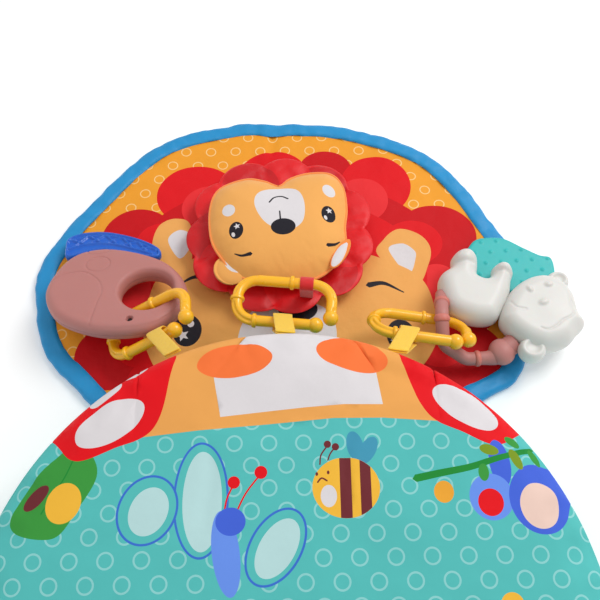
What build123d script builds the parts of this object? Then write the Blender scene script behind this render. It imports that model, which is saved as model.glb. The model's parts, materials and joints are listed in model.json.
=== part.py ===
"""Play cushion with a round front, a lion's-head flap that lies on the floor in front of it, and
three toys that hang on rings from webbing loops under the ridge.

Frame: the origin is on the floor under the centre of the round front. +Y runs from the low near
end to the flap's far edge, +X to the right and +Z up. Millimetres and degrees.
"""

from build123d import *
from math import cos, pi, radians, sin, tan
import os

os.makedirs("parts", exist_ok=True)

# ---- cushion -------------------------------------------------------------------------------
FRONT_RADIUS = 234.0  # the round front wall, in plan
BACK_LENGTH = 200.0  # straight sides, from the front's centre back to the near end
RIDGE_HEIGHT = 102.0  # the top at the front wall
TOP_SLOPE = 8.0  # the top falls towards the near end
NEAR_CORNER = 70.0  # plan radius of the two near corners
EDGE_ROUND = 14.0  # rounding round the top edge
COVER = 1.5  # thickness of the cover fabric
FOAM_GAP = 0.3  # between the foam core and its cover
SEAM_DROP = 17.0  # seam between top panel and side band, below the top

# ---- zip in the near end of the side band -----------------------------------------------------
ZIP_LENGTH = 250.0
ZIP_HEIGHT = 16.0
ZIP_CENTRE_Z = 13.0
COIL_HEIGHT = 5.0
COIL_DEPTH = 3.0
COIL_PROUD = 1.4  # how far the coil stands out of the tape
SLIDER = (12.0, 4.2, 9.6)  # length, depth, height
SLIDER_GAP = 0.3
SLIDER_END = 8.0  # from the coil's end to the slider's centre when the zip is shut
PULL_LENGTH = 24.0
PULL_WIDTH = 7.0
PULL_THICK = 1.4
BAIL_RADIUS = 1.0

# ---- flap ----------------------------------------------------------------------------------
# Half of the flap's outline, as (half width, distance from the front's centre).
FLAP_HALF = [(195, 230), (230, 290), (237, 330), (225, 372), (198, 420), (148, 491), (62, 528)]
FLAP_TIP = (0.0, 532.0)  # the far edge on the centre line
FLAP_NECK = (140.0, 172.0)  # where the outline runs in under the cushion's wall
FLAP_LIES = -4.7  # how far the soft flap lies turned about the front wall
FLAP_SHIFT = -9.4
FLAP_GAP = 0.3  # between flap and cushion wall
FLAP_THICK = 7.6
FABRIC = 0.8
BINDING_WIDTH = 13.0
FOLD_Y = 252.0  # the flap's fold, on its lower face
FOLD_GAP = 0.3  # on each side of the fold

# ---- webbing loops and rings --------------------------------------------------------------------
LOOP_WIDTH = 15.0
LOOP_THICK = 1.4
LOOP_ANGLE = 22.5  # the outer loops, round the front from the centre one
LOOP_SEAM_Z = 86.0
LOOP_PLAY = 1.05  # between a loop and the ring in it
LOOP_STITCHED = 8.0  # the two layers lie together for this far from the sewn end
LOOP_CREASE = 0.4  # half of the gap where the layers part
RING_LENGTH = 92.0
RING_WIDTH = 50.0
RING_TUBE = 9.5  # diameter
RING_CORNER = 17.0
RING_BALL = 13.6
RING_COLLAR = 12.6
RING_COLLAR_WIDTH = 3.6
RING_MOUTH = 1.2  # gap between the two balls
RING_MOUTH_TURN = 32.0  # of the line through the balls, across the near right corner

# ---- rattle ----------------------------------------------------------------------------------
RATTLE_OUTLINE = [(-93, 20), (-80, -8), (-50, -26), (-20, -32), (8, -28.5), (28, -13), (36, 8),
                  (30, 32), (12, 54), (-18, 69), (-48, 75), (-72, 68), (-87, 47)]
RATTLE_HALF = 9.0  # half of its thickness
RATTLE_WALL = 2.4
RATTLE_HOLE = (-1.0, 15.0)
RATTLE_THROAT = 23.5
RATTLE_BEVEL = 5.5
COMB_OUTLINE = [(-78, 66), (-82, 84), (-80, 97), (-64, 104), (-40, 102), (-10, 88), (9, 71),
                (6, 56), (-30, 60)]
COMB_HALF = 4.5
COMB_GAP = 0.15
SCREW_AT = (-13.0, -19.0)
SCREW_RADIUS = 2.2
RATTLE_POCKET = ((-55.0, 26.0), (23.0, 28.0))  # centre and half sizes of the beads' pocket
BEAD_RADIUS = 2.6
BEADS_AT = [(-62, 20), (-55, 12), (-52, 24), (-66, 30), (-48, 36)]

# ---- bear teether ------------------------------------------------------------------------------
BEAR_HEAD = (61.0, 57.0, 38.0)
BEAR_HEAD_AT = (229.0, 283.0, 28.5)
BEAR_ROUND = 17.0  # rounding of the head's two faces
BEAR_BODY = (60.0, 58.0, 33.0)
BEAR_BODY_AT = (169.0, 306.0, 27.5)
BEAR_LIMB = (11.5, 15.0)  # radius and length of each stub foot
TEETHER_PAD = (78.0, 52.0, 7.0)
TEETHER_PAD_AT = (214.0, 335.0, 14.5)
BEAR_RING_ROUTE = [(143, 303, 30), (138, 274, 44), (139, 252, 30), (160, 242, 20), (184, 243, 20),
                   (204, 256, 23)]
BEAR_RING_BENDS = [12, 12, 12, 20]  # bend radius at each of the route's corners
BEAR_RING_TUBE = 12.6

# ---- plush lion ----------------------------------------------------------------------------------
PLUSH_AT = (-6.0, 380.0)
PLUSH_TURN = -1.5
FACE = (63.0, 60.0)  # half width and half depth of the face pad
FACE_Z = (23.0, 54.0)
FACE_ROUND = 11.0
FACE_COVER = 1.2
MANE_LOBES = 13
MANE_LOBE_RADIUS = 24.0
MANE_RADIUS = 90.0
MANE_Z = (10.4, 22.4)
MANE_OFFSET = 3.0  # mane centre, beyond the face's centre
BACK_Z = (8.4, 10.2)
TAB_WIDTH = 12.0
TAB_PLAY = 0.5  # between the tab and the ring in it
TAB_ALONG = 18.0  # where the tab holds the ring's far leg, from the ring's middle
TAB_REACH = 8.0  # from the ring's leg over the mane to the tab's sewn end
TAB_RISE = 0.2  # of the sewn end above the mane
SQUEAKER_RADIUS = 14.0
SQUEAKER_HEIGHT = 14.0
SQUEAKER_GAP = 0.4


def save(shape, node):
    """Writes one node's solids to its own file."""
    solids = shape.solids()
    export_step(solids[0] if len(solids) == 1 else Compound(children=list(solids)),
                f"parts/{node}.step")


def axes_at(origin, x_dir, z_dir):
    """The placement whose own X and Z axes point along the two directions."""
    return Plane(origin=Vector(*origin), x_dir=Vector(*x_dir), z_dir=Vector(*z_dir)).location


# ---- cushion -------------------------------------------------------------------------------


def cushion_plan(inset):
    """The plan outline, moved inwards."""
    radius = FRONT_RADIUS - inset
    length = BACK_LENGTH - inset
    front = Circle(radius) & Pos(0, radius / 2) * Rectangle(2 * radius, radius)
    plan = front + Pos(0, -length / 2) * Rectangle(2 * radius, length)
    near = plan.vertices().group_by(Axis.Y)[0]
    return fillet(near, NEAR_CORNER - inset)


def top_at(y):
    """Height of the flat top above the floor at y."""
    return RIDGE_HEIGHT - (FRONT_RADIUS - y) * tan(radians(TOP_SLOPE))


def below_top(drop):
    """A block under the plane that lies the given distance below the sloping top."""
    reach = 2 * FRONT_RADIUS + BACK_LENGTH
    face = Plane.YZ * Polygon(
        (-reach, -reach), (reach, -reach), (reach, top_at(reach) - drop),
        (-reach, top_at(-reach) - drop), align=None)
    return extrude(face, reach, both=True)


def cushion_solid(inset, floor):
    """The whole cushion as one block, its outside moved inwards by inset and cut off at floor."""
    block = Pos(0, 0, floor) * extrude(cushion_plan(inset), RIDGE_HEIGHT) & below_top(inset)
    top = block.faces().filter_by(lambda f: f.normal_at().Z > 0.9).sort_by(Axis.Z)[-1]
    return fillet(top.edges(), EDGE_ROUND - inset)


def make_cushion():
    outside = cushion_solid(0, COVER)
    hollow = cushion_solid(COVER, 0)
    shell = outside - hollow
    top_panel = shell - below_top(SEAM_DROP)
    side_band = shell & below_top(SEAM_DROP)
    window = Pos(0, -BACK_LENGTH, ZIP_CENTRE_Z) * Box(ZIP_LENGTH, 4 * COVER, ZIP_HEIGHT)
    save(top_panel, "top_cover")
    save(side_band - window, "side_band")
    save(extrude(cushion_plan(0), COVER), "base_panel")
    save(cushion_solid(COVER + FOAM_GAP, COVER), "foam_core")


# ---- zip -----------------------------------------------------------------------------------

OUT_OF_NEAR_END = -BACK_LENGTH
SLIDER_X = ZIP_LENGTH / 2 - SLIDER_END
SLIDER_FRONT = OUT_OF_NEAR_END - COVER / 8 - SLIDER[1]
BAIL_Y = SLIDER_FRONT - 2 * BAIL_RADIUS


def make_zip():
    tape = Pos(0, OUT_OF_NEAR_END + COVER / 2, ZIP_CENTRE_Z) * Box(ZIP_LENGTH, COVER, ZIP_HEIGHT)
    coil = Pos(0, OUT_OF_NEAR_END - COIL_PROUD + COIL_DEPTH / 2, ZIP_CENTRE_Z) * Box(
        ZIP_LENGTH - 2, COIL_DEPTH, COIL_HEIGHT)
    save(tape + coil, "zip_tape")

    body = Pos(SLIDER_X, SLIDER_FRONT + SLIDER[1] / 2, ZIP_CENTRE_Z) * Box(*SLIDER)
    channel = Pos(SLIDER_X, OUT_OF_NEAR_END, ZIP_CENTRE_Z) * Box(
        2 * SLIDER[0], 2 * (COIL_PROUD + SLIDER_GAP), COIL_HEIGHT + 2 * SLIDER_GAP)
    lugs = [
        Pos(SLIDER_X, BAIL_Y + BAIL_RADIUS / 2, ZIP_CENTRE_Z + side * (SLIDER[2] / 2 - 1))
        * Box(4 * BAIL_RADIUS, 5 * BAIL_RADIUS, 2)
        for side in (-1, 1)]
    pin = Pos(SLIDER_X, BAIL_Y, ZIP_CENTRE_Z) * Cylinder(BAIL_RADIUS, SLIDER[2] - 1)
    save(body - channel + lugs + pin, "zip_slider")

    eye_height = SLIDER[2] - 4 - 2 * SLIDER_GAP
    eye = Cylinder(1.9 * BAIL_RADIUS, eye_height)
    tab = Pos(PULL_LENGTH / 2, 0) * Box(PULL_LENGTH, PULL_THICK, min(PULL_WIDTH, eye_height))
    pull = eye + tab - Cylinder(BAIL_RADIUS + SLIDER_GAP / 2, 2 * eye_height)
    save(Pos(SLIDER_X, BAIL_Y, ZIP_CENTRE_Z) * pull, "zip_pull")


# ---- flap ----------------------------------------------------------------------------------


def moved(edge, shares, distance):
    """Points at the given shares of an edge, moved to its left by a distance."""
    found = []
    for share in shares:
        ahead = edge.tangent_at(share)
        found.append(edge.position_at(share) + Vector(-ahead.Y, ahead.X) * distance)
    return found


def flap_outline(inset):
    """The flap's outline in plan, closed by a straight line inside the cushion's wall."""
    right = [FLAP_NECK, *FLAP_HALF]
    points = right + [FLAP_TIP] + [(-x, y) for x, y in reversed(right)]
    edge = Spline(*points)
    if inset:
        last = 2 * len(points)
        edge = Spline(*moved(edge, [i / last for i in range(last + 1)], inset))
    face = make_face([edge, Line(edge @ 1, edge @ 0)])
    return Pos(FLAP_SHIFT, FRONT_RADIUS) * Rot(0, 0, FLAP_LIES) * Pos(0, -FRONT_RADIUS) * face


def make_flap():
    clear_of_cushion = Circle(FRONT_RADIUS + FLAP_GAP)
    panel = flap_outline(FABRIC) - clear_of_cushion
    window = flap_outline(BINDING_WIDTH)
    whole = flap_outline(0) - clear_of_cushion

    def layer(face, low, high):
        return Pos(0, 0, low) * extrude(face, high - low)

    inside = layer(panel, FABRIC, FLAP_THICK - FABRIC)
    rim = layer(whole, 0, FLAP_THICK) - inside - layer(window, -1, FLAP_THICK + 1)
    reach = 4 * FRONT_RADIUS
    beyond = Pos(0, FOLD_Y + FOLD_GAP + reach / 2) * Box(reach, reach, reach)
    behind = Pos(0, FOLD_Y - FOLD_GAP - reach / 2) * Box(reach, reach, reach)
    save(rim & beyond, "flap_binding")
    save(rim & behind, "flap_root_binding")
    save(inside & behind, "flap_root_panel")
    save(layer(panel, FABRIC, 2 * FABRIC) & beyond, "flap_back_fabric")
    save(layer(panel, 2 * FABRIC, FLAP_THICK - 2 * FABRIC) & beyond, "flap_wadding")
    save(layer(panel, FLAP_THICK - 2 * FABRIC, FLAP_THICK - FABRIC) & beyond,
         "flap_front_fabric")


# ---- webbing loops and rings -----------------------------------------------------------------


def seam_point(angle, out):
    """Where a loop's sewn end is centred, just outside the front wall."""
    radius = FRONT_RADIUS + out
    return Vector(radius * sin(radians(angle)), radius * cos(radians(angle)), LOOP_SEAM_Z)


def webbing_loop(root, held, leg_dir, width, play):
    """A folded strip of webbing from its sewn end round a ring's leg. Where the leg crosses
    the strip askew, the fold is as much longer on both sides."""
    along = held - root
    length = along.length
    along, leg = along.normalized(), leg_dir.normalized()
    square = (leg - along * leg.dot(along)).normalized()
    askew = width / 2 * abs(leg.dot(along)) / leg.dot(square)
    inner = RING_TUBE / 2 + play

    def around_leg(radius, end, end_radius):
        return make_hull((Pos(askew) * Circle(radius)).edges()
                         + (Pos(-askew) * Circle(radius)).edges()
                         + (Pos(end) * Circle(end_radius)).edges())

    outside = around_leg(inner + LOOP_THICK, -length, LOOP_THICK)
    tunnel = around_leg(inner, LOOP_STITCHED - length, LOOP_CREASE)
    strip = extrude(outside - tunnel, width / 2, both=True)
    return axes_at(held, along, square) * strip


def ring_solid():
    """A split ring like a bent cane, lying in its own XY plane, its long legs along X. The near
    leg, at -Y, carries the mouth near its right end."""
    x, y = (RING_LENGTH - RING_TUBE) / 2, (RING_WIDTH - RING_TUBE) / 2
    apart = RING_BALL + RING_MOUTH
    first = (x, -y + apart * sin(radians(RING_MOUTH_TURN)))
    last = (x - apart * cos(radians(RING_MOUTH_TURN)), -y)
    route = FilletPolyline(first, (x, y), (-x, y), (-x, -y), last, radius=3 * [RING_CORNER])
    start = Plane(origin=route @ 0, z_dir=route % 0)
    cane = sweep(start * Circle(RING_TUBE / 2), route)
    for end in (first, last):
        cane += Pos(*end) * Sphere(RING_BALL / 2)
    collar = Cylinder(RING_COLLAR / 2, RING_COLLAR_WIDTH)
    collar = fillet(collar.edges(), 1.2)
    for cx, cy in ((RING_CORNER - x, -y), (5, y)):
        cane += Pos(cx, cy) * Rot(0, 90, 0) * collar
    cane += Pos(-x, 0) * Rot(90, 0, 0) * collar
    return cane


def ring_place(centre, turn, rise, roll):
    """Turn about Z, raise the right end, then roll the far leg up about the long axis."""
    return Pos(*centre) * Rot(0, 0, turn) * Rot(0, -rise, 0) * Rot(roll, 0, 0)


NEAR_LEG_Y = -(RING_WIDTH - RING_TUBE) / 2

# Each ring lies where its toy and its loop hold it: the ring's centre, turn, rise and roll, how
# far along the near leg its loop sits, and the loop's place round the front and off the wall.
RINGS = {
    "left": ((-121.0, 270.5, 41.5), 10.0, 31.5, -9.0, 11.5, -LOOP_ANGLE, 3.6),
    "centre": ((-1.0, 280.5, 59.0), -5.9, 0.0, 0.0, 0.0, 0.0, 2.2),
    "right": ((118.0, 263.0, 43.0), -6.9, -5.5, -36.0, -12.0, LOOP_ANGLE, 2.4),
}


def make_loops_and_rings():
    ring = ring_solid()
    for side, (centre, turn, rise, roll, along, angle, out) in RINGS.items():
        place = ring_place(centre, turn, rise, roll)
        held = (place * Pos(along, NEAR_LEG_Y)).position
        leg = (place * Pos(along + 1, NEAR_LEG_Y)).position - held
        root = seam_point(angle, out)
        save(webbing_loop(root, held, leg, LOOP_WIDTH, LOOP_PLAY), f"loop_{side}")
        save(place * ring, f"ring_{side}")


# ---- rattle --------------------------------------------------------------------------------

RATTLE_PLACE = Pos(-124.0, 290.0, 37.0) * Rot(0, 0, 4.1) * Rot(-13.0, 0, 0)


def spline_face(points):
    edge = Spline(*points, periodic=True)
    return make_face([edge])


def make_rattle():
    outline = spline_face(RATTLE_OUTLINE)
    body = extrude(outline, RATTLE_HALF, both=True)
    body = fillet(body.faces().filter_by(Axis.Z).edges(), RATTLE_HALF - 2.5)
    hole = Pos(*RATTLE_HOLE) * Cylinder(RATTLE_THROAT, 4 * RATTLE_HALF)
    for side in (-1, 1):
        bevel = Cone(RATTLE_THROAT, RATTLE_THROAT + 2 * RATTLE_BEVEL, 2 * RATTLE_BEVEL)
        hole += (Pos(RATTLE_HOLE[0], RATTLE_HOLE[1], side * RATTLE_HALF)
                 * Rot(90 - 90 * side, 0, 0) * bevel)
    cavity = extrude(Pos(*RATTLE_POCKET[0]) * Ellipse(*RATTLE_POCKET[1]),
                     RATTLE_HALF - RATTLE_WALL, both=True)
    comb = extrude(spline_face(COMB_OUTLINE), COMB_HALF, both=True)
    rim = Spline(*RATTLE_OUTLINE, periodic=True)
    count = 2 * len(RATTLE_OUTLINE)
    seat = make_face([Spline(*moved(rim, [i / count for i in range(count)], -COMB_GAP),
                             periodic=True)])
    comb -= extrude(seat, 2 * RATTLE_HALF, both=True)
    comb = max(comb.solids(), key=lambda s: s.volume)
    screw = Pos(*SCREW_AT) * Cylinder(SCREW_RADIUS, 2 * RATTLE_HALF - 5)
    head = Pos(*SCREW_AT, RATTLE_HALF - 4) * Cylinder(1.6 * SCREW_RADIUS, 2)
    screw += head
    pocket = (Pos(*SCREW_AT, RATTLE_HALF) * Cylinder(1.7 * SCREW_RADIUS, 10)
              + Pos(*SCREW_AT) * Cylinder(SCREW_RADIUS, 2 * RATTLE_HALF - 5))
    shell = body - hole - cavity - pocket
    half = Pos(0, 0, RATTLE_HALF) * Box(400, 400, 2 * RATTLE_HALF)
    save(RATTLE_PLACE * (shell & half), "rattle_front_shell")
    save(RATTLE_PLACE * (shell - half), "rattle_back_shell")
    save(RATTLE_PLACE * comb, "rattle_comb")
    save(RATTLE_PLACE * screw, "rattle_screw")
    beads = [Pos(x, y, -RATTLE_HALF + RATTLE_WALL + BEAD_RADIUS + 0.1) * Sphere(BEAD_RADIUS)
             for x, y in BEADS_AT]
    save(RATTLE_PLACE * Compound(children=beads), "rattle_beads")


# ---- bear teether -----------------------------------------------------------------------------


def rounded_pad(size, rounding):
    """An elliptical pad, rounded over at both faces."""
    pad = extrude(Ellipse(size[0] / 2, size[1] / 2), size[2] / 2, both=True)
    return fillet(pad.faces().filter_by(Axis.Z).edges(), rounding)


def make_bear():
    ring_route = FilletPolyline(*BEAR_RING_ROUTE, radius=BEAR_RING_BENDS)
    start = Plane(origin=ring_route @ 0, z_dir=ring_route % 0)
    ring = sweep(start * Circle(BEAR_RING_TUBE / 2), ring_route)

    head = Pos(*BEAR_HEAD_AT) * rounded_pad(BEAR_HEAD, BEAR_ROUND)
    for x, y in ((18, 27), (-2, -31)):
        head += Pos(*BEAR_HEAD_AT) * Pos(x, y, -2) * Cylinder(9.5, 12)
    body = extrude(RectangleRounded(BEAR_BODY[0], BEAR_BODY[1], 18), BEAR_BODY[2] / 2, both=True)
    body = Rot(0, 0, -8) * fillet(body.faces().filter_by(Axis.Z).edges(), 12)
    for x in (-15, 17):
        foot = Rot(-90, 0, 0) * Cylinder(BEAR_LIMB[0], BEAR_LIMB[1])
        foot = fillet(foot.edges(), 5)
        body += Rot(0, 0, -20) * Pos(x, BEAR_BODY[1] / 2 + 2, 0) * foot
    body = Pos(*BEAR_BODY_AT) * body
    pad = extrude(RectangleRounded(TEETHER_PAD[0], TEETHER_PAD[1], 20), TEETHER_PAD[2] / 2,
                  both=True)
    pad = Pos(*TEETHER_PAD_AT) * Rot(0, 0, -12) * pad
    head -= ring
    body -= ring
    pad = pad - head - body
    pad = max(pad.solids(), key=lambda s: s.volume)
    head = head - body
    save(head, "bear_head")
    save(body, "bear_body")
    save(ring, "bear_ring")
    save(pad, "bear_teether_pad")


# ---- plush lion --------------------------------------------------------------------------------


def face_pad(inset):
    pad = extrude(Ellipse(FACE[0] - inset, FACE[1] - inset),
                  FACE_Z[1] - FACE_Z[0] - 2 * inset)
    pad = fillet(pad.edges(), FACE_ROUND - inset)
    return Pos(0, 0, FACE_Z[0] + inset) * pad


def make_plush():
    place = Pos(*PLUSH_AT) * Rot(0, 0, PLUSH_TURN)
    inside = face_pad(FACE_COVER)
    middle = (FACE_Z[0] + FACE_Z[1]) / 2
    squeaker = Pos(0, 0, middle) * Cylinder(SQUEAKER_RADIUS, SQUEAKER_HEIGHT)
    pocket = Pos(0, 0, middle) * Cylinder(SQUEAKER_RADIUS + SQUEAKER_GAP,
                                          SQUEAKER_HEIGHT + 2 * SQUEAKER_GAP)
    save(place * (face_pad(0) - inside), "plush_face_cover")
    save(place * (inside - pocket), "plush_filling")
    save(place * squeaker, "plush_squeaker")

    lobe_centre = MANE_RADIUS - MANE_LOBE_RADIUS
    mane = Circle(lobe_centre + MANE_LOBE_RADIUS / 4)
    for i in range(MANE_LOBES):
        a = 2 * pi * (i + 0.5) / MANE_LOBES
        mane += Pos(lobe_centre * cos(a), lobe_centre * sin(a)) * Circle(MANE_LOBE_RADIUS)
    mane = Pos(0, MANE_OFFSET, MANE_Z[0]) * extrude(mane, MANE_Z[1] - MANE_Z[0])
    save(place * mane, "plush_mane")
    back = Pos(0, MANE_OFFSET, BACK_Z[0]) * extrude(Circle(lobe_centre), BACK_Z[1] - BACK_Z[0])
    save(place * back, "plush_back")

    centre, turn, rise, roll = RINGS["centre"][:4]
    ring_at = ring_place(centre, turn, rise, roll)
    held = (ring_at * Pos(TAB_ALONG, -NEAR_LEG_Y)).position
    leg = (ring_at * Pos(TAB_ALONG + 1, -NEAR_LEG_Y)).position - held
    root = Vector(held.X, held.Y + TAB_REACH, MANE_Z[1] + LOOP_THICK + TAB_RISE)
    save(webbing_loop(root, held, leg, TAB_WIDTH, TAB_PLAY), "plush_tab")


make_cushion()
make_zip()
make_flap()
make_loops_and_rings()
make_rattle()
make_bear()
make_plush()
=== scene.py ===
"""The looks of the play cushion, its flap and its three toys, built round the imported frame.

Shapes are worked out in millimetres in the row frame and turned into metres when a mesh is made.
"""

import json
from math import cos, pi, radians, sin, tan

import bmesh
import bpy
import numpy as np
from mathutils import Matrix, Vector
from mathutils.geometry import delaunay_2d_cdt


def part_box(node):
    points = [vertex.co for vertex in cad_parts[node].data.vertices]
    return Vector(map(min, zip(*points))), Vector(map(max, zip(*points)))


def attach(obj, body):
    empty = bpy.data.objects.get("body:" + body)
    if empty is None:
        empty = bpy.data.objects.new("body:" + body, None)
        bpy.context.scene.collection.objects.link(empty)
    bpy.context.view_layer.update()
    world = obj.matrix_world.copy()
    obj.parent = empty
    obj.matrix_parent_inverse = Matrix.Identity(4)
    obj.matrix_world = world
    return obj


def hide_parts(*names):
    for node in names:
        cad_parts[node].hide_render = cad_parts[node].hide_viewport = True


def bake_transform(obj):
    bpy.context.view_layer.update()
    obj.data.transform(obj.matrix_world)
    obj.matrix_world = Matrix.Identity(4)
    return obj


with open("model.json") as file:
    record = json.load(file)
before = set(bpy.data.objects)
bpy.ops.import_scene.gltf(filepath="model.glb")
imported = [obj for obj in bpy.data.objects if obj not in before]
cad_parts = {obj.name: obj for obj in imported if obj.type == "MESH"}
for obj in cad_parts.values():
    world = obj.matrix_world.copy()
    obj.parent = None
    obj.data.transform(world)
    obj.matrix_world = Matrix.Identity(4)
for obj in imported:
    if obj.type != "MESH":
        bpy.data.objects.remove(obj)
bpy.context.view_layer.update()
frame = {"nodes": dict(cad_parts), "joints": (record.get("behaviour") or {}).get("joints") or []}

MM = 0.001
WELD_GAP = 0.01


# ---- colours ---------------------------------------------------------------------------------


def srgb(red, green, blue):
    """A linear colour from the usual 0 to 255 values."""
    def linear(value):
        value /= 255
        return value / 12.92 if value <= 0.04045 else ((value + 0.055) / 1.055) ** 2.4
    return linear(red), linear(green), linear(blue), 1.0


TEAL = srgb(84, 190, 186)
TAN_BAND = srgb(236, 165, 84)
CHEEK = srgb(248, 118, 56)
WHITE_PRINT = srgb(222, 217, 219)
MUSHROOM = srgb(230, 2, 18)
ORANGE = srgb(242, 160, 44)
MANE_DARK = srgb(204, 6, 18)
MANE_RED = srgb(226, 14, 24)
MANE_LIGHT = srgb(236, 46, 50)
LION_TAN = srgb(240, 172, 92)
PIPING = srgb(248, 146, 70)
INK = srgb(34, 32, 40)
BEE_YELLOW = srgb(244, 186, 58)
BROWN = srgb(112, 40, 46)
LEAF = srgb(58, 152, 60)
BRANCH = srgb(28, 138, 50)
OLIVE = srgb(124, 152, 28)
WING_LINE = srgb(58, 112, 206)
WING_PALE = srgb(184, 220, 220)
BEE_WING = srgb(66, 152, 182)
BIRD_BLUE = srgb(66, 100, 216)
BIRD_LIGHT = srgb(104, 146, 236)
SKIN_PINK = srgb(236, 204, 190)
BINDING = srgb(26, 144, 204)
RING_YELLOW = srgb(255, 186, 22)
LOOP_YELLOW = srgb(255, 206, 34)
MAUVE = srgb(186, 122, 116)
COLLAR_PINK = srgb(206, 120, 108)
COMB_BLUE = srgb(16, 98, 204)
SILICONE = srgb(46, 184, 182)
BEAR_WHITE = srgb(219, 217, 212)


# ---- numbers and outlines --------------------------------------------------------------------


def lattice(ix, iy, seed):
    """A repeatable value from 0 to 1 for each whole-numbered place."""
    mixed = np.sin(ix * 127.1 + iy * 311.7 + seed * 74.7) * 43758.5453
    return mixed - np.floor(mixed)


def ripple(x, y, size, seed):
    """Smooth noise from -1 to 1 whose bumps are about size apart."""
    x, y = np.asarray(x, float) / size, np.asarray(y, float) / size
    ix, iy = np.floor(x), np.floor(y)
    fx, fy = x - ix, y - iy
    fx, fy = fx * fx * (3 - 2 * fx), fy * fy * (3 - 2 * fy)
    low = lattice(ix, iy, seed) * (1 - fx) + lattice(ix + 1, iy, seed) * fx
    high = lattice(ix, iy + 1, seed) * (1 - fx) + lattice(ix + 1, iy + 1, seed) * fx
    return 2 * (low * (1 - fy) + high * fy) - 1


def smooth_curve(points, step, closed=True):
    """A curve through the points, as places about step apart."""
    points = np.array(points, float)
    if closed:
        knots = np.vstack([points[-1:], points, points[:2]])
    else:
        knots = np.vstack([2 * points[:1] - points[1:2], points, 2 * points[-1:] - points[-2:-1]])
    found = []
    for a, b, c, d in zip(knots, knots[1:], knots[2:], knots[3:]):
        count = max(1, int(round(np.linalg.norm(c - b) / step)))
        for i in range(count):
            t = i / count
            found.append(0.5 * (2 * b + (c - a) * t + (2 * a - 5 * b + 4 * c - d) * t * t
                                + (3 * b - a - 3 * c + d) * t ** 3))
    if not closed:
        found.append(points[-1])
    return np.array(found)


def ellipse(x, y, half_x, half_y, turn=0.0, step=1.5):
    """An ellipse's outline, turned by so many degrees."""
    count = max(16, int(2 * pi * max(half_x, half_y) / step))
    t = np.arange(count) * 2 * pi / count
    c, s = cos(radians(turn)), sin(radians(turn))
    across, along = half_x * np.cos(t), half_y * np.sin(t)
    return np.stack([x + across * c - along * s, y + across * s + along * c], 1)


def ellipse_slice(x, y, half_x, half_y, low, high, step=1.5):
    """The part of an upright ellipse between two values of x."""
    xs = np.linspace(low, high, max(3, int((high - low) / step)))
    tall = half_y * np.sqrt(np.clip(1 - ((xs - x) / half_x) ** 2, 0, 1)) - 0.05
    return np.vstack([np.stack([xs, y + tall], 1), np.stack([xs, y - tall], 1)[::-1]])


def stroke(points, start_width, end_width, step=1.5):
    """The outline of a brush stroke along an open curve."""
    line = smooth_curve(points, step, closed=False)
    ahead = np.gradient(line, axis=0)
    ahead /= np.linalg.norm(ahead, axis=1)[:, None]
    side = np.stack([-ahead[:, 1], ahead[:, 0]], 1)
    half = np.linspace(start_width, end_width, len(line))[:, None] / 2
    tip = (line[-1] + ahead[-1] * half[-1])[None]
    tail = (line[0] - ahead[0] * half[0])[None]
    return np.vstack([tail, line + side * half, tip, (line - side * half)[::-1]])


def star(x, y, radius, turn=0.0):
    """A five-pointed star's outline."""
    angles = np.arange(10) * pi / 5 + pi / 2 + radians(turn)
    radii = np.where(np.arange(10) % 2, 0.45 * radius, radius)
    return np.stack([x + radii * np.cos(angles), y + radii * np.sin(angles)], 1)


def inside(points, outline):
    """Which of the points lie inside the closed outline."""
    x, y = points[:, 0], points[:, 1]
    hit = np.zeros(len(points), bool)
    for (x0, y0), (x1, y1) in zip(outline, np.roll(outline, -1, axis=0)):
        if y0 != y1:
            hit ^= ((y0 > y) != (y1 > y)) & (x < (x1 - x0) * (y - y0) / (y1 - y0) + x0)
    return hit


def edge_distance(points, outline):
    """How far each point is from the closed outline, and how far round the outline that is."""
    ends = np.roll(outline, -1, axis=0)
    along = ends - outline
    lengths = np.maximum(np.linalg.norm(along, axis=1), 1e-9)
    starts = np.concatenate([[0], np.cumsum(lengths)[:-1]])
    best = np.full(len(points), 1e9)
    where = np.zeros(len(points))
    for start, direction, length, origin in zip(outline, along, lengths, starts):
        share = np.clip(((points - start) @ direction) / length ** 2, 0, 1)
        gap = np.linalg.norm(points - start - share[:, None] * direction, axis=1)
        nearer = gap < best
        best[nearer] = gap[nearer]
        where[nearer] = origin + share[nearer] * length
    return best, where


def inward(outline, distance):
    """The outline, each point moved inwards by a distance. The outline runs anticlockwise."""
    ahead = np.roll(outline, -1, axis=0) - np.roll(outline, 1, axis=0)
    ahead /= np.maximum(np.linalg.norm(ahead, axis=1), 1e-9)[:, None]
    return outline + distance * np.stack([-ahead[:, 1], ahead[:, 0]], 1)


def anticlockwise(outline):
    """The outline, reversed if it runs clockwise."""
    x, y = outline[:, 0], outline[:, 1]
    area = np.sum(x * np.roll(y, -1) - np.roll(x, -1) * y)
    return outline if area > 0 else outline[::-1].copy()


def rounded_path(points, radii, step=1.5):
    """Straight runs joined by arcs, as places about step apart."""
    points = [np.array(p, float) for p in points]
    found = [points[0]]
    for i in range(1, len(points) - 1):
        before = points[i - 1] - points[i]
        after = points[i + 1] - points[i]
        before /= np.linalg.norm(before)
        after /= np.linalg.norm(after)
        half = np.arccos(np.clip(before @ after, -1, 1)) / 2
        radius = radii[i - 1]
        reach = radius / tan(half)
        middle = before + after
        centre = points[i] + middle / np.linalg.norm(middle) * radius / sin(half)
        start, end = points[i] + before * reach, points[i] + after * reach
        turns = max(4, int(radius * (pi - 2 * half) / step))
        for k in range(turns + 1):
            chord = start + (end - start) * k / turns - centre
            found.append(centre + chord / np.linalg.norm(chord) * radius)
    found.append(points[-1])
    line = [found[0]]
    for a, b in zip(found, found[1:]):
        count = max(1, int(np.linalg.norm(b - a) / step))
        line += [a + (b - a) * (k + 1) / count for k in range(count)]
    return np.array(line)


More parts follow.
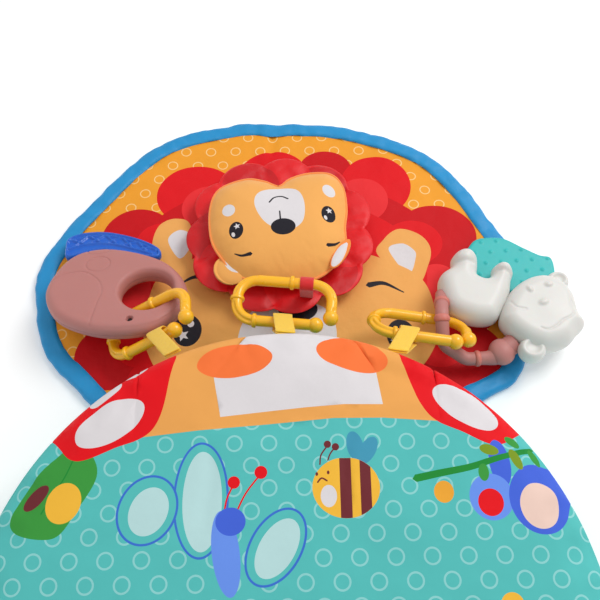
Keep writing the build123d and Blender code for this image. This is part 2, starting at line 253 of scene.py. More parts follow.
# ---- meshes ----------------------------------------------------------------------------------


def mesh_piece(name, points, faces, material):
    """A mesh object from places in millimetres."""
    mesh = bpy.data.meshes.new(name)
    mesh.from_pydata([tuple(p) for p in np.asarray(points, float) * MM], [], faces)
    mesh.validate()
    mesh.shade_smooth()
    mesh.materials.append(material)
    made = bpy.data.objects.new(name, mesh)
    bpy.context.scene.collection.objects.link(made)
    return made


def cut_cloth(outline, loops, spacing, rims):
    """Triangles that fill the outline, with an edge along every loop."""
    points, edges = [], []

    def add(loop):
        first = len(points)
        points.extend(loop)
        edges.extend((first + i, first + (i + 1) % len(loop)) for i in range(len(loop)))

    add(outline)
    for depth in rims:
        points.extend(inward(outline, depth))
    for loop in loops:
        add(loop)
    low, high = outline.min(0), outline.max(0)
    across = np.arange(low[0], high[0], spacing)
    along = np.arange(low[1], high[1], spacing * 0.87)
    grid = np.array([(x + (j % 2) * spacing / 2, y) for j, y in enumerate(along) for x in across])
    gap, _ = edge_distance(grid, outline)
    clear = max([0.6 * spacing, *[depth + 0.5 * spacing for depth in rims]])
    points.extend(grid[inside(grid, outline) & (gap > clear)])
    places, _, faces = delaunay_2d_cdt([Vector(p) for p in points], edges, [], 0, 1e-3)[:3]
    places = np.array([(p.x, p.y) for p in places])
    faces = np.array([f for f in faces if len(f) == 3])
    faces = faces[inside(places[faces].mean(1), outline)]
    used = np.unique(faces)
    renumber = np.zeros(len(places), int)
    renumber[used] = np.arange(len(used))
    return places[used], renumber[faces]


def paint(piece, face_centres, prints, ground):
    """Colours each face by the topmost print that it lies in. ground is the cloth's own colour
    and whether it carries the pattern of rings."""
    colours = np.tile(np.array(ground[0], np.float32), (len(face_centres), 1))
    rings = np.full(len(face_centres), float(ground[1]), np.float32)
    for outline, colour in prints:
        hit = inside(face_centres, outline)
        colours[hit] = colour
        rings[hit] = 0
    mesh = piece.data
    corners = np.repeat(np.arange(len(mesh.polygons)), [p.loop_total for p in mesh.polygons])
    shade = mesh.attributes.new("Print", "FLOAT_COLOR", "CORNER")
    shade.data.foreach_set("color", colours[corners].ravel())
    field = mesh.attributes.new("Rings", "FLOAT", "CORNER")
    field.data.foreach_set("value", rings[corners])


def printed_cloth(name, outline, prints, ground, lift, spacing, material, rims=(), up=True):
    """One layer of printed cloth over the outline, lifted to lift(points, distance, round)."""
    places, faces = cut_cloth(outline, [p for p, _ in prints], spacing, rims)
    gap, where = edge_distance(places, outline)
    points = np.column_stack([places, lift(places, gap, where)])
    ordered = faces if up else faces[:, ::-1]
    piece = mesh_piece(name, points, ordered.tolist(), material)
    paint(piece, places[faces].mean(1), prints, ground)
    return piece


def pillow(name, outline, top, bottom, spacing, material, prints=(), ground=None, rims=(),
           place=None):
    """A closed pad over the outline, between the heights bottom and top, which are functions of
    the points and their distance from the edge. place moves it from its own plane."""
    places, faces = cut_cloth(outline, [p for p, _ in prints], spacing, rims)
    gap, _ = edge_distance(places, outline)
    rim = gap < 1e-3
    upper = np.column_stack([places, top(places, gap)])
    lower = np.column_stack([places, bottom(places, gap)])
    lower_index = np.where(rim, np.arange(len(places)), 0)
    lower_index[~rim] = len(places) + np.arange((~rim).sum())
    points = np.vstack([upper, lower[~rim]])
    if place is not None:
        points = points @ place[:3, :3].T + place[:3, 3]
    everything = np.vstack([faces, lower_index[faces][:, ::-1]])
    piece = mesh_piece(name, points, everything.tolist(), material)
    if ground is not None:
        centres = places[faces].mean(1)
        paint(piece, np.vstack([centres, centres + 1e5]), prints, ground)
    return piece


def sweep(name, line, radius, material, sides=20, caps=True, squash=None):
    """A tube along a line of places. radius is a number or one for each place; squash gives the
    radius a factor by place and angle."""
    line = np.asarray(line, float)
    ahead = np.gradient(line, axis=0)
    ahead /= np.linalg.norm(ahead, axis=1)[:, None]
    radius = np.broadcast_to(radius, (len(line),))
    normal = np.cross(ahead[0], (0, 0, 1.0))
    if np.linalg.norm(normal) < 0.1:
        normal = np.cross(ahead[0], (0, 1.0, 0))
    points = []
    for i, (place, direction) in enumerate(zip(line, ahead)):
        normal = normal - direction * (normal @ direction)
        normal /= np.linalg.norm(normal)
        binormal = np.cross(direction, normal)
        for k in range(sides):
            a = 2 * pi * k / sides
            factor = squash(i, a) if squash else 1.0
            points.append(place + radius[i] * factor * (cos(a) * normal + sin(a) * binormal))
    faces = [(i * sides + k, i * sides + (k + 1) % sides, (i + 1) * sides + (k + 1) % sides,
              (i + 1) * sides + k) for i in range(len(line) - 1) for k in range(sides)]
    if caps:
        faces.append(tuple(range(sides))[::-1])
        faces.append(tuple((len(line) - 1) * sides + k for k in range(sides)))
    return mesh_piece(name, points, faces, material)


def ball(name, centre, radius, material, stretch=(1, 1, 1)):
    """A sphere as a lathe of rings."""
    rows, sides = 20, 28
    points, faces = [], []
    for i in range(rows + 1):
        tall = pi * i / rows
        for k in range(sides):
            a = 2 * pi * k / sides
            points.append(np.array(centre) + radius * np.array(
                (sin(tall) * cos(a) * stretch[0], sin(tall) * sin(a) * stretch[1],
                 cos(tall) * stretch[2])))
    for i in range(rows):
        faces += [(i * sides + k, (i + 1) * sides + k, (i + 1) * sides + (k + 1) % sides,
                   i * sides + (k + 1) % sides) for k in range(sides)]
    return welded(mesh_piece(name, points, faces, material))


def welded(piece):
    """Joins points that lie together."""
    work = bmesh.new()
    work.from_mesh(piece.data)
    bmesh.ops.remove_doubles(work, verts=work.verts, dist=WELD_GAP * MM)
    bmesh.ops.recalc_face_normals(work, faces=work.faces)
    work.to_mesh(piece.data)
    work.free()
    piece.data.shade_smooth()
    return piece


def joined(name, pieces):
    """One object from several, keeping the first one's material."""
    with bpy.context.temp_override(active_object=pieces[0], object=pieces[0],
                                   selected_editable_objects=pieces, selected_objects=pieces):
        bpy.ops.object.join()
    pieces[0].name = name
    pieces[0].data.name = name
    return pieces[0]


def inflate(piece, pressure, frames, cap, held):
    """Cloth simulation: the cover tightens over its filling. No point moves by more than cap, and
    the points listed in held stay where they are."""
    mesh = piece.data
    before = np.empty(3 * len(mesh.vertices))
    mesh.vertices.foreach_get("co", before)
    before = before.reshape(-1, 3)
    seam = piece.vertex_groups.new(name="seam")
    seam.add([int(i) for i in held], 1.0, "REPLACE")
    cloth = piece.modifiers.new("inflate", "CLOTH")
    cloth.settings.quality = 6
    cloth.settings.mass = 0.1
    cloth.settings.use_pressure = True
    cloth.settings.uniform_pressure_force = pressure
    cloth.settings.effector_weights.gravity = 0
    cloth.settings.vertex_group_mass = seam.name
    cloth.point_cache.frame_start = 1
    cloth.point_cache.frame_end = frames
    for number in range(1, frames + 1):
        bpy.context.scene.frame_set(number)
    swollen = bpy.data.meshes.new_from_object(
        piece.evaluated_get(bpy.context.evaluated_depsgraph_get()))
    after = np.empty_like(before).ravel()
    swollen.vertices.foreach_get("co", after)
    move = after.reshape(-1, 3) - before
    far = np.linalg.norm(move, axis=1)
    move *= np.minimum(1, cap * MM / np.maximum(far, 1e-9))[:, None]
    mesh.vertices.foreach_set("co", (before + move).ravel())
    mesh.update()
    piece.modifiers.remove(cloth)
    piece.vertex_groups.remove(seam)
    bpy.data.meshes.remove(swollen)
    bpy.context.scene.frame_set(1)


def placement(centre, turn=0.0, rise=0.0, roll=0.0):
    """Turn about Z, raise the right end, then roll about the long axis, as a 4 by 4 matrix."""
    made = (Matrix.Translation(centre) @ Matrix.Rotation(radians(turn), 4, "Z")
            @ Matrix.Rotation(radians(-rise), 4, "Y") @ Matrix.Rotation(radians(roll), 4, "X"))
    return np.array(made)


# ---- materials -------------------------------------------------------------------------------


class Nodes:
    """A material's node tree with short calls for the nodes used here."""

    def __init__(self, name, roughness, colour=None):
        self.material = bpy.data.materials.new(name)
        self.material.use_nodes = True
        self.tree = self.material.node_tree
        self.shader = self.tree.nodes["Principled BSDF"]
        self.shader.inputs["Roughness"].default_value = roughness
        if colour:
            self.shader.inputs["Base Color"].default_value = colour
        self.place = self.tree.nodes.new("ShaderNodeTexCoord").outputs["Object"]

    def add(self, kind, **values):
        node = self.tree.nodes.new(kind)
        for key, value in values.items():
            setattr(node, key, value)
        return node

    def join(self, source, target):
        if isinstance(source, (int, float, tuple)):
            target.default_value = source
        else:
            self.tree.links.new(source, target)

    def math(self, operation, a, b=0.0, c=0.0):
        node = self.add("ShaderNodeMath", operation=operation)
        for value, socket in zip((a, b, c), node.inputs):
            self.join(value, socket)
        return node.outputs[0]

    def noise(self, size, detail=2.0):
        """Noise whose bumps are about size millimetres apart."""
        node = self.add("ShaderNodeTexNoise")
        node.inputs["Scale"].default_value = 1 / (size * MM)
        node.inputs["Detail"].default_value = detail
        self.join(self.place, node.inputs["Vector"])
        return node.outputs["Fac"]

    def mix(self, share, a, b):
        node = self.add("ShaderNodeMix", data_type="RGBA")
        self.join(share, node.inputs[0])
        self.join(a, node.inputs[6])
        self.join(b, node.inputs[7])
        return node.outputs[2]

    def attribute(self, name):
        return self.add("ShaderNodeAttribute", attribute_name=name)

    def varied(self, colour, amount, size):
        """The colour, lighter and darker in soft patches."""
        node = self.add("ShaderNodeHueSaturation")
        self.join(colour, node.inputs["Color"])
        patches = self.math("MULTIPLY_ADD", self.noise(size, 3.0), 2 * amount, 1 - amount)
        self.join(patches, node.inputs["Value"])
        return node.outputs["Color"]

    def weave(self, thread):
        """Crossed threads, as a height from 0 to 1."""
        heights = []
        for axis in (0, 1):
            parts = self.add("ShaderNodeSeparateXYZ")
            self.join(self.place, parts.inputs[0])
            wave = self.math("SINE", self.math("MULTIPLY", parts.outputs[axis],
                                               2 * pi / (thread * MM)))
            heights.append(wave)
        return self.math("MULTIPLY_ADD", self.math("MULTIPLY", *heights), 0.5, 0.5)

    def bump(self, heights):
        """Chains bumps; heights is a list of (height, depth in millimetres)."""
        last = None
        for height, depth in heights:
            node = self.add("ShaderNodeBump")
            node.inputs["Distance"].default_value = depth * MM
            self.join(height, node.inputs["Height"])
            if last is not None:
                self.join(last, node.inputs["Normal"])
            last = node.outputs["Normal"]
        self.join(last, self.shader.inputs["Normal"])

    def shine(self, **values):
        """Sets the shader's inputs, each named with underscores for spaces."""
        for key, value in values.items():
            self.shader.inputs[key.replace("_", " ")].default_value = value

    def colour(self, source):
        self.join(source, self.shader.inputs["Base Color"])

    def ring_pattern(self, spacing, row, radius, line):
        """1 on the lines of small rings in staggered rows, 0 elsewhere."""
        parts = self.add("ShaderNodeSeparateXYZ")
        self.join(self.place, parts.inputs[0])
        y = self.math("DIVIDE", parts.outputs[1], row * MM)
        line_number = self.math("FLOOR", y)
        shift = self.math("MULTIPLY", self.math("FLOORED_MODULO", line_number, 2.0), 0.5)
        x = self.math("ADD", self.math("DIVIDE", parts.outputs[0], spacing * MM), shift)
        dx = self.math("MULTIPLY", self.math("SUBTRACT", self.math("FRACT", x), 0.5), spacing)
        dy = self.math("MULTIPLY", self.math("SUBTRACT", self.math("FRACT", y), 0.5), row)
        away = self.math("SQRT", self.math("ADD", self.math("MULTIPLY", dx, dx),
                                           self.math("MULTIPLY", dy, dy)))
        off = self.math("ABSOLUTE", self.math("SUBTRACT", away, radius))
        return self.math("LESS_THAN", off, line / 2)


def cloth_material(name, roughness, thread, colour=None, rings=None, sheen=0.03, crinkle=0.3):
    """Woven cloth. With no colour it takes the print from the mesh. rings is a pattern's
    (spacing, row, radius, line, colour)."""
    made = Nodes(name, roughness)
    base = colour
    if colour is None:
        base = made.attribute("Print").outputs["Color"]
    if rings:
        shown = made.math("MULTIPLY", made.ring_pattern(*rings[:4]),
                          made.attribute("Rings").outputs["Fac"])
        base = made.mix(made.math("MULTIPLY", shown, 0.8), base, rings[4])
    made.colour(made.varied(base, 0.06, 45))
    made.shine(Sheen_Weight=sheen, Sheen_Roughness=0.4, Specular_IOR_Level=0.2)
    made.bump([(made.noise(11, 3.0), crinkle), (made.weave(thread), 0.05),
               (made.noise(0.6, 2.0), 0.03)])
    return made.material


def satin_material(name, colour):
    """Bright satin with fine gathers."""
    made = Nodes(name, 0.42)
    base = made.attribute("Print").outputs["Color"] if colour is None else colour
    made.colour(made.varied(base, 0.1, 14))
    made.shine(Sheen_Weight=0.1, Sheen_Roughness=0.3, Specular_IOR_Level=0.4)
    made.bump([(made.noise(12, 2.0), 0.9), (made.weave(0.35), 0.03)])
    return made.material


def webbing_material(name, colour):
    """Narrow woven tape with ribs across it."""
    made = Nodes(name, 0.6)
    made.colour(made.varied(colour, 0.1, 3))
    made.shine(Sheen_Weight=0.3)
    made.bump([(made.weave(1.1), 0.25), (made.noise(0.5, 2.0), 0.08)])
    return made.material


def plastic_material(name, colour, roughness, grain=0.02, coat=0.0):
    """Moulded plastic with a faint grain and tone."""
    made = Nodes(name, roughness)
    made.colour(made.varied(colour, 0.03, 22))
    made.shine(Coat_Weight=coat, Coat_Roughness=0.2, Subsurface_Weight=0.08, Subsurface_Scale=0.004)
    wear = made.math("MULTIPLY_ADD", made.noise(4, 3.0), 0.14, roughness - 0.07)
    made.join(wear, made.shader.inputs["Roughness"])
    made.bump([(made.noise(0.8, 3.0), grain), (made.noise(12, 2.0), 0.08)])
    return made.material


def metal_material(name, colour, roughness):
    made = Nodes(name, roughness)
    made.colour(made.varied(colour, 0.08, 3))
    made.shine(Metallic=0.8)
    made.bump([(made.noise(0.7, 3.0), 0.03)])
    return made.material


CUSHION_CLOTH = cloth_material("cushion_cloth", 0.62, 0.6, rings=(26.0, 16.5, 5.6, 1.5,
                                                                 srgb(150, 214, 212)))
BAND_CLOTH = cloth_material("band_cloth", 0.65, 0.6, TEAL)
BASE_CLOTH = cloth_material("base_cloth", 0.85, 0.9, srgb(226, 222, 212), sheen=0.1)
FLAP_CLOTH = cloth_material("flap_cloth", 0.55, 0.5, rings=(26.0, 18.0, 4.9, 1.1,
                                                           srgb(252, 214, 150)), crinkle=0.8)
FLAP_BACK_CLOTH = cloth_material("flap_back_cloth", 0.75, 0.7, srgb(236, 168, 72))
BINDING_SATIN = satin_material("binding_satin", BINDING)
MANE_SATIN = satin_material("mane_satin", None)
FACE_PLUSH = cloth_material("face_plush", 0.8, 0.8, sheen=0.2, crinkle=0.5)
PIPING_CLOTH = cloth_material("piping_cloth", 0.7, 0.5, srgb(248, 150, 78), sheen=0.4)
LOOP_WEBBING = webbing_material("loop_webbing", LOOP_YELLOW)
TAB_SATIN = webbing_material("tab_satin", MANE_RED)
THREAD = webbing_material("thread", srgb(240, 240, 236))
RING_PLASTIC = plastic_material("ring_plastic", RING_YELLOW, 0.3, coat=0.25)
MAUVE_PLASTIC = plastic_material("mauve_plastic", MAUVE, 0.52, grain=0.04)
COLLAR_PLASTIC = plastic_material("collar_plastic", COLLAR_PINK, 0.5, grain=0.04)
COMB_PLASTIC = plastic_material("comb_plastic", COMB_BLUE, 0.34, coat=0.15)
SILICONE_RUBBER = plastic_material("silicone_rubber", SILICONE, 0.48)
BEAR_PLASTIC = plastic_material("bear_plastic", BEAR_WHITE, 0.46, coat=0.05)
SCREW_METAL = metal_material("screw_metal", srgb(70, 66, 66), 0.4)
ZIP_METAL = metal_material("zip_metal", srgb(196, 206, 208), 0.35)
ZIP_TEETH = plastic_material("zip_teeth", srgb(214, 232, 232), 0.4)
BEAD_PLASTIC = plastic_material("bead_plastic", srgb(240, 196, 60), 0.35)


# ---- cushion ---------------------------------------------------------------------------------

box_low, box_high = (Vector(c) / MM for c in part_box("top_cover"))
FRONT_RADIUS = box_high.x
NEAR_EDGE = box_low.y
RIDGE_HEIGHT = box_high.z
TOP_SLOPE = tan(radians(8.0))
NEAR_CORNER = 70.0
EDGE_ROUND = 14.0
CROWN = 2.5  # how far the stuffed middle stands above the plain slope
CROWN_REACH = 75.0  # how far in from the edge it rises
WALL_ROWS = 15
ZIP_HALF, ZIP_TOP = 131, 24  # the zip's window in the near wall
SEAM_DROP = 1.0  # from the edge's lower tangent down to the stitches


def cushion_plan(step=3.0):
    """The cushion's outline in plan, anticlockwise from the right."""
    def arc(x, y, radius, first, last):
        count = int(radius * radians(last - first) / step)
        angles = np.radians(np.linspace(first, last, count + 1))[:-1]
        return [(x + radius * cos(a), y + radius * sin(a)) for a in angles]

    def run(start, end):
        start, end = np.array(start), np.array(end)
        count = int(np.linalg.norm(end - start) / step)
        return [tuple(start + (end - start) * i / count) for i in range(count)]

    side, corner = FRONT_RADIUS, NEAR_CORNER
    near = NEAR_EDGE + corner
    return np.array(
        arc(0, 0, side, 0, 180) + run((-side, 0), (-side, near))
        + arc(corner - side, near, corner, 180, 270)
        + run((corner - side, NEAR_EDGE), (side - corner, NEAR_EDGE))
        + arc(side - corner, near, corner, 270, 360) + run((side, near), (side, 0)))


def top_plane(y):
    return RIDGE_HEIGHT - (FRONT_RADIUS - y) * TOP_SLOPE


def crease(points, x, low, high, depth, width):
    """A soft valley that runs along Y."""
    along = np.clip((points[:, 1] - low) / (high - low), 0, 1)
    fade = np.sin(pi * along) ** 2
    bend = 4 * ripple(points[:, 1], points[:, 1] * 0, 30, x)
    return -depth * fade * np.exp(-((points[:, 0] - x - bend) / width) ** 2)


def cushion_top(points, gap, where):
    near_edge = np.minimum(gap, EDGE_ROUND)
    drop = EDGE_ROUND - np.sqrt(EDGE_ROUND ** 2 - (EDGE_ROUND - near_edge) ** 2)
    height = top_plane(points[:, 1]) - drop
    stuffed = CROWN * (1 - np.exp(-((gap / CROWN_REACH) ** 2)))
    height += stuffed - 1.2 * np.exp(-((gap - 19) / 6) ** 2)
    height += 0.9 * ripple(points[:, 0], points[:, 1], 55, 3) * np.minimum(gap / 60, 1)
    height += 0.35 * ripple(points[:, 0], points[:, 1], 17, 5) * np.minimum(gap / 20, 1)
    height += 0.5 * np.sin(where / 5.5 + 2 * ripple(where, where * 0, 40, 8)) * np.exp(
        -((gap - 9) / 6) ** 2)
    for x, low, high, depth, width in ((-57, 60, 165, 1.8, 5), (47, 90, 170, 1.6, 4),
                                       (-120, -60, 60, 1.6, 6), (96, -90, 40, 1.4, 6)):
        height += crease(points, x, low, high, depth, width)
    return height


def butterfly():
    """A generic winged bug, seen from above."""
    wings = ((-63, 100, 20.5, 42, 0, 14.5, 36), (-102, 93, 22, 26, -24, 14, 18),
             (-8, 66, 19, 30, -32, 13, 23))
    prints = []
    for x, y, wide, tall, turn, inner_wide, inner_tall in wings:
        prints += [(ellipse(x, y, wide, tall, turn), WING_LINE),
                   (ellipse(x, y, wide - 1.7, tall - 1.7, turn), TEAL),
                   (ellipse(x + 1, y - 1, inner_wide, inner_tall, turn), WING_PALE)]
    prints += [(stroke([(-46, 88), (-44, 100), (-39, 111)], 1.3, 1.3), MUSHROOM),
               (stroke([(-38, 88), (-30, 104), (-19, 118)], 1.3, 1.3), MUSHROOM),
               (ellipse(-39, 112, 4.6, 4.6), MUSHROOM), (ellipse(-19, 119, 4.8, 4.8), MUSHROOM),
               (ellipse(-44, 62, 10, 30, 8), BIRD_LIGHT), (ellipse(-41, 84, 11, 10), BIRD_BLUE)]
    return prints


def bee():
    x, y, wide, tall = 44, 107, 25, 22
    prints = [(ellipse(52, 137, 6.2, 12, 14), BEE_WING), (ellipse(61, 134, 6, 11.5, -32), BEE_WING),
              (stroke([(25, 124), (26, 131), (31, 138)], 1.1, 1.1), BROWN),
              (stroke([(31, 127), (33, 132), (37, 137)], 1.1, 1.1), BROWN),
              (ellipse(31, 139, 2.8, 2.8), BROWN), (ellipse(37, 137, 2.8, 2.8), BROWN),
              (ellipse(x, y, wide, tall), BEE_YELLOW)]
    for low, high in ((39.5, 48), (54.5, 62.5)):
        prints.append((ellipse_slice(x, y, wide, tall, low, high), BROWN))
    prints += [(ellipse(31, 101, 6, 8), WHITE_PRINT),
               (stroke([(23, 111), (26, 114), (30, 112)], 1.2, 1.2), BROWN),
               (ellipse(22.5, 117, 1, 1.4), BROWN), (ellipse(31, 118, 1, 1.4), BROWN)]
    return prints


def mushroom(side, colour):
    """The cap of a mushroom at one side of the ridge; side is -1 or 1."""
    if side < 0:
        cap = [(-93, 232), (-91, 190), (-101, 153), (-129, 139), (-158, 130), (-178, 146),
               (-205, 175), (-160, 225)]
        spots = [(-135, 159, 29, 15.5, 30), (-119, 203, 13, 5, 32), (-141, 183, 15, 5, 38)]
    else:
        cap = [(93, 232), (98, 190), (110, 161), (134, 148), (158, 138), (180, 148),
               (205, 175), (160, 225)]
        spots = [(139, 168, 28, 13, -33)]
    return [(smooth_curve(cap, 2), colour)] + [(ellipse(*s), WHITE_PRINT) for s in spots]


def bird_on_branch():
    return [
        (ellipse(160, 124, 8, 18, 5), BIRD_BLUE), (ellipse(151, 99, 16.5, 17), BIRD_LIGHT),
        (ellipse(150, 95, 9.5, 10), MUSHROOM), (ellipse(188, 98, 24, 26), BIRD_BLUE),
        (ellipse(187, 93, 15.5, 17), SKIN_PINK), (ellipse(116, 103, 7.4, 8), srgb(238, 166, 50)),
        (stroke([(96, 113), (111, 116), (137, 121), (160, 128), (187, 135)], 5.6, 4.0), BRANCH),
        (ellipse(153, 134, 7.5, 4, -12), OLIVE), (ellipse(173, 127, 3.8, 8.5, 28), OLIVE),
        (ellipse(172, 140, 6.5, 3, -40), LEAF), (ellipse(147, 117, 4, 6.5, 0), LEAF),
        (ellipse(189, 129, 2.6, 7.5, 32), LEAF)]


def meadow():
    """The low near half: hills, flowers and leaves."""
    hill = smooth_curve([(-260, -96), (-170, -70), (-80, -88), (10, -62), (110, -84), (190, -60),
                         (260, -80), (260, -260), (-260, -260)], 4)
    near_hill = smooth_curve([(-260, -150), (-120, -128), (20, -146), (150, -122), (260, -140),
                              (260, -280), (-260, -280)], 4)
    prints = [(hill, LEAF), (near_hill, BRANCH)]
    for x, y, colour in ((-150, -30, CHEEK), (60, -6, MUSHROOM), (158, 14, BEE_YELLOW),
                         (-70, -46, BIRD_LIGHT)):
        prints.append((stroke([(x, y), (x + 4, y - 30), (x - 2, y - 62)], 3.4, 4.4), BRANCH))
        prints.append((ellipse(x + 11, y - 40, 11, 4.6, 34), OLIVE))
        for k in range(5):
            a = 2 * pi * k / 5 + 0.3
            prints.append((ellipse(x + 11 * cos(a), y + 11 * sin(a), 8.2, 8.2), colour))
        prints.append((ellipse(x, y, 6.5, 6.5), WHITE_PRINT))
    return prints


def cushion_prints():
    band = [(-116, 146), (-66, 151), (-14, 155), (36, 159), (74, 159), (118, 156), (118, 262),
            (-116, 262)]
    muzzle = [(-50, 161), (-14, 165), (15, 168), (45, 170), (75, 170), (72, 198), (44, 242),
              (-24, 242), (-56, 193)]
    leaves = [(smooth_curve([(-204, 84), (-186, 122), (-160, 144), (-146, 134), (-141, 118),
                             (-152, 96), (-170, 74)], 2), LEAF),
              (stroke([(-158, 138), (-166, 116), (-180, 92)], 1.2, 1.2), BRANCH),
              (ellipse(-186, 104, 12, 6, 42), BROWN), (ellipse(-164, 99, 13, 15, -20), BEE_YELLOW)]
    return ([(np.array(band, float), TAN_BAND), (np.array(muzzle, float), WHITE_PRINT),
             (ellipse(-40, 207, 30, 14.5, 7), CHEEK), (ellipse(53, 212, 29, 14.5, -14), CHEEK)]
            + leaves + mushroom(-1, MUSHROOM) + mushroom(1, MUSHROOM) + butterfly() + bee()
            + bird_on_branch() + meadow())


def make_cushion():
    plan = cushion_plan()
    top = printed_cloth("cushion_top", plan, cushion_prints(), (TEAL, 1), cushion_top, 5.0,
                        CUSHION_CLOTH, rims=(0.3, 1.2, 2.8, 5, 8, 11.5))
    heights = np.array([v.co.z for v in top.data.vertices]) / MM
    edge_height = top_plane(np.array([v.co.y for v in top.data.vertices]) / MM) - EDGE_ROUND
    inflate(top, pressure=8.0, frames=8, cap=2.5,
            held=np.flatnonzero(heights < edge_height + 6.0))
    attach(top, "base")
    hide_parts("top_cover", "foam_core")

    lengths = np.linalg.norm(np.roll(plan, -1, 0) - plan, axis=1)
    around = np.concatenate([[0], np.cumsum(lengths)[:-1]])
    outward = plan - inward(plan, 1.0)
    points = []
    for row in range(WALL_ROWS + 1):
        share = row / WALL_ROWS
        high = top_plane(plan[:, 1]) - EDGE_ROUND
        z = high * (1 - share)
        bulge = 1.6 * np.sin(pi * np.minimum(1, share * 1.1)) * (
            0.6 + 0.4 * ripple(around, z, 40, 11))
        seam = -1.1 * np.exp(-((high - z - 3.0) / 1.3) ** 2)
        tuck = -3.0 * np.clip((share - 0.9) / 0.1, 0, 1) ** 2
        near_wall = plan[:, 1] < NEAR_EDGE + 1
        zip_gap = near_wall & (np.abs(plan[:, 0]) < ZIP_HALF) & (z < ZIP_TOP)
        out = np.where(zip_gap, -1.8, bulge + seam + tuck)
        flat = plan + outward * out[:, None]
        points.append(np.column_stack([flat, np.maximum(z, 0.2)]))
    count = len(plan)
    faces = [(r * count + i, (r + 1) * count + i, (r + 1) * count + (i + 1) % count,
              r * count + (i + 1) % count) for r in range(WALL_ROWS) for i in range(count)]
    wall = mesh_piece("cushion_side_band", np.vstack(points), faces, BAND_CLOTH)
    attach(wall, "base")
    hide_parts("side_band")

    def base_height(points, gap, where):
        return 0.15 + 0.25 * (1 + ripple(points[:, 0], points[:, 1], 30, 21)) * np.minimum(
            gap / 20, 1)

    base = printed_cloth("cushion_base", inward(plan, 2.0), [], (TEAL, 0), base_height, 9.0,
                         BASE_CLOTH, up=False)
    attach(base, "base")
    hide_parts("base_panel")
    return plan


def make_stitches(plan):
    """Short threads along the seam under the ridge."""
    outward = plan - inward(plan, 1.0)
    pieces = []
    for i in range(0, len(plan), 2):
        x, y = plan[i] + outward[i] * 0.15
        z = top_plane(y) - EDGE_ROUND - SEAM_DROP
        ahead = (plan[(i + 1) % len(plan)] - plan[i - 1]) / 2
        ahead = ahead / np.linalg.norm(ahead)
        line = [(x + ahead[0] * s, y + ahead[1] * s, z + 0.2 * (1 - s * s / 2)) for s in
                (-1.5, -0.7, 0, 0.7, 1.5)]
        pieces.append(sweep(f"stitch_{i}", line, 0.35, THREAD, sides=6))
    made = joined("seam_stitches", pieces)
    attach(made, "base")


# ---- zip -------------------------------------------------------------------------------------


TOOTH_PITCH = 2.0


def make_zip():
    """The coil's teeth, along the middle of the tape."""
    low, high = (Vector(c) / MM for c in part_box("zip_tape"))
    middle = (low.z + high.z) / 2
    pieces = []
    count = int((high.x - low.x - 4) / TOOTH_PITCH)
    for i in range(count):
        x = low.x + 2 + TOOTH_PITCH * (i + 0.5)
        side = 1 if i % 2 else -1
        line = [(x, low.y + 1.0, middle + side * 2.6), (x, low.y - 0.05, middle + side * 1.6),
                (x, low.y - 0.1, middle - side * 0.6), (x, low.y + 0.8, middle - side * 1.2)]
        pieces.append(sweep(f"tooth_{i}", line, 0.62, ZIP_TEETH, sides=8))
    teeth = joined("zip_coil", pieces)
    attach(teeth, "base")


# ---- flap ------------------------------------------------------------------------------------

FLAP_EDGE = [(138, 190), (161, 203), (204, 226), (225, 268), (236, 315), (223, 362), (203, 406),
             (181, 449), (151, 487), (109, 511), (62, 527), (14, 533), (-12, 531), (-35, 534),
             (-83, 526), (-129, 508), (-164, 475), (-193, 436), (-219, 396), (-238, 352),
             (-235, 303), (-220, 259), (-186, 222), (-152, 186)]
FLAP_TOP = 6.9
BINDING_WIDTH = 17.5
CLOTH_INSET = 3.5  # the printed cloth ends this far inside the binding's edge


def flap_plan(step=3.0):
    """The flap's outline: its free edge, then back along the cushion's round front."""
    edge = smooth_curve(FLAP_EDGE, step, closed=False)
    first = np.arctan2(edge[-1, 1], edge[-1, 0])
    last = np.arctan2(edge[0, 1], edge[0, 0])
    radius = FRONT_RADIUS + 0.4
    count = int(radius * (first - last) / step)
    angles = np.linspace(first, last, count + 1)[1:-1]
    wall = np.stack([radius * np.cos(angles), radius * np.sin(angles)], 1)
    return edge, np.vstack([edge, wall])


def flap_top(points, gap, where):
    x, y = points[:, 0], points[:, 1]
    pucker = np.sin(where / 4.2 + 3 * ripple(where, where * 0, 30, 4))
    height = FLAP_TOP - 0.3 + 1.0 * ripple(x, y, 40, 7) + 0.45 * ripple(x, y, 15, 9)
    height += 0.5 * pucker * np.exp(-gap / 14) * (0.5 + 0.5 * ripple(where, where * 0, 50, 6))
    height += crease(points, -14, 470, 540, 2.4, 3.5)
    return np.maximum(height, 4.5) - 1.6 * np.exp(-gap / 2.5)


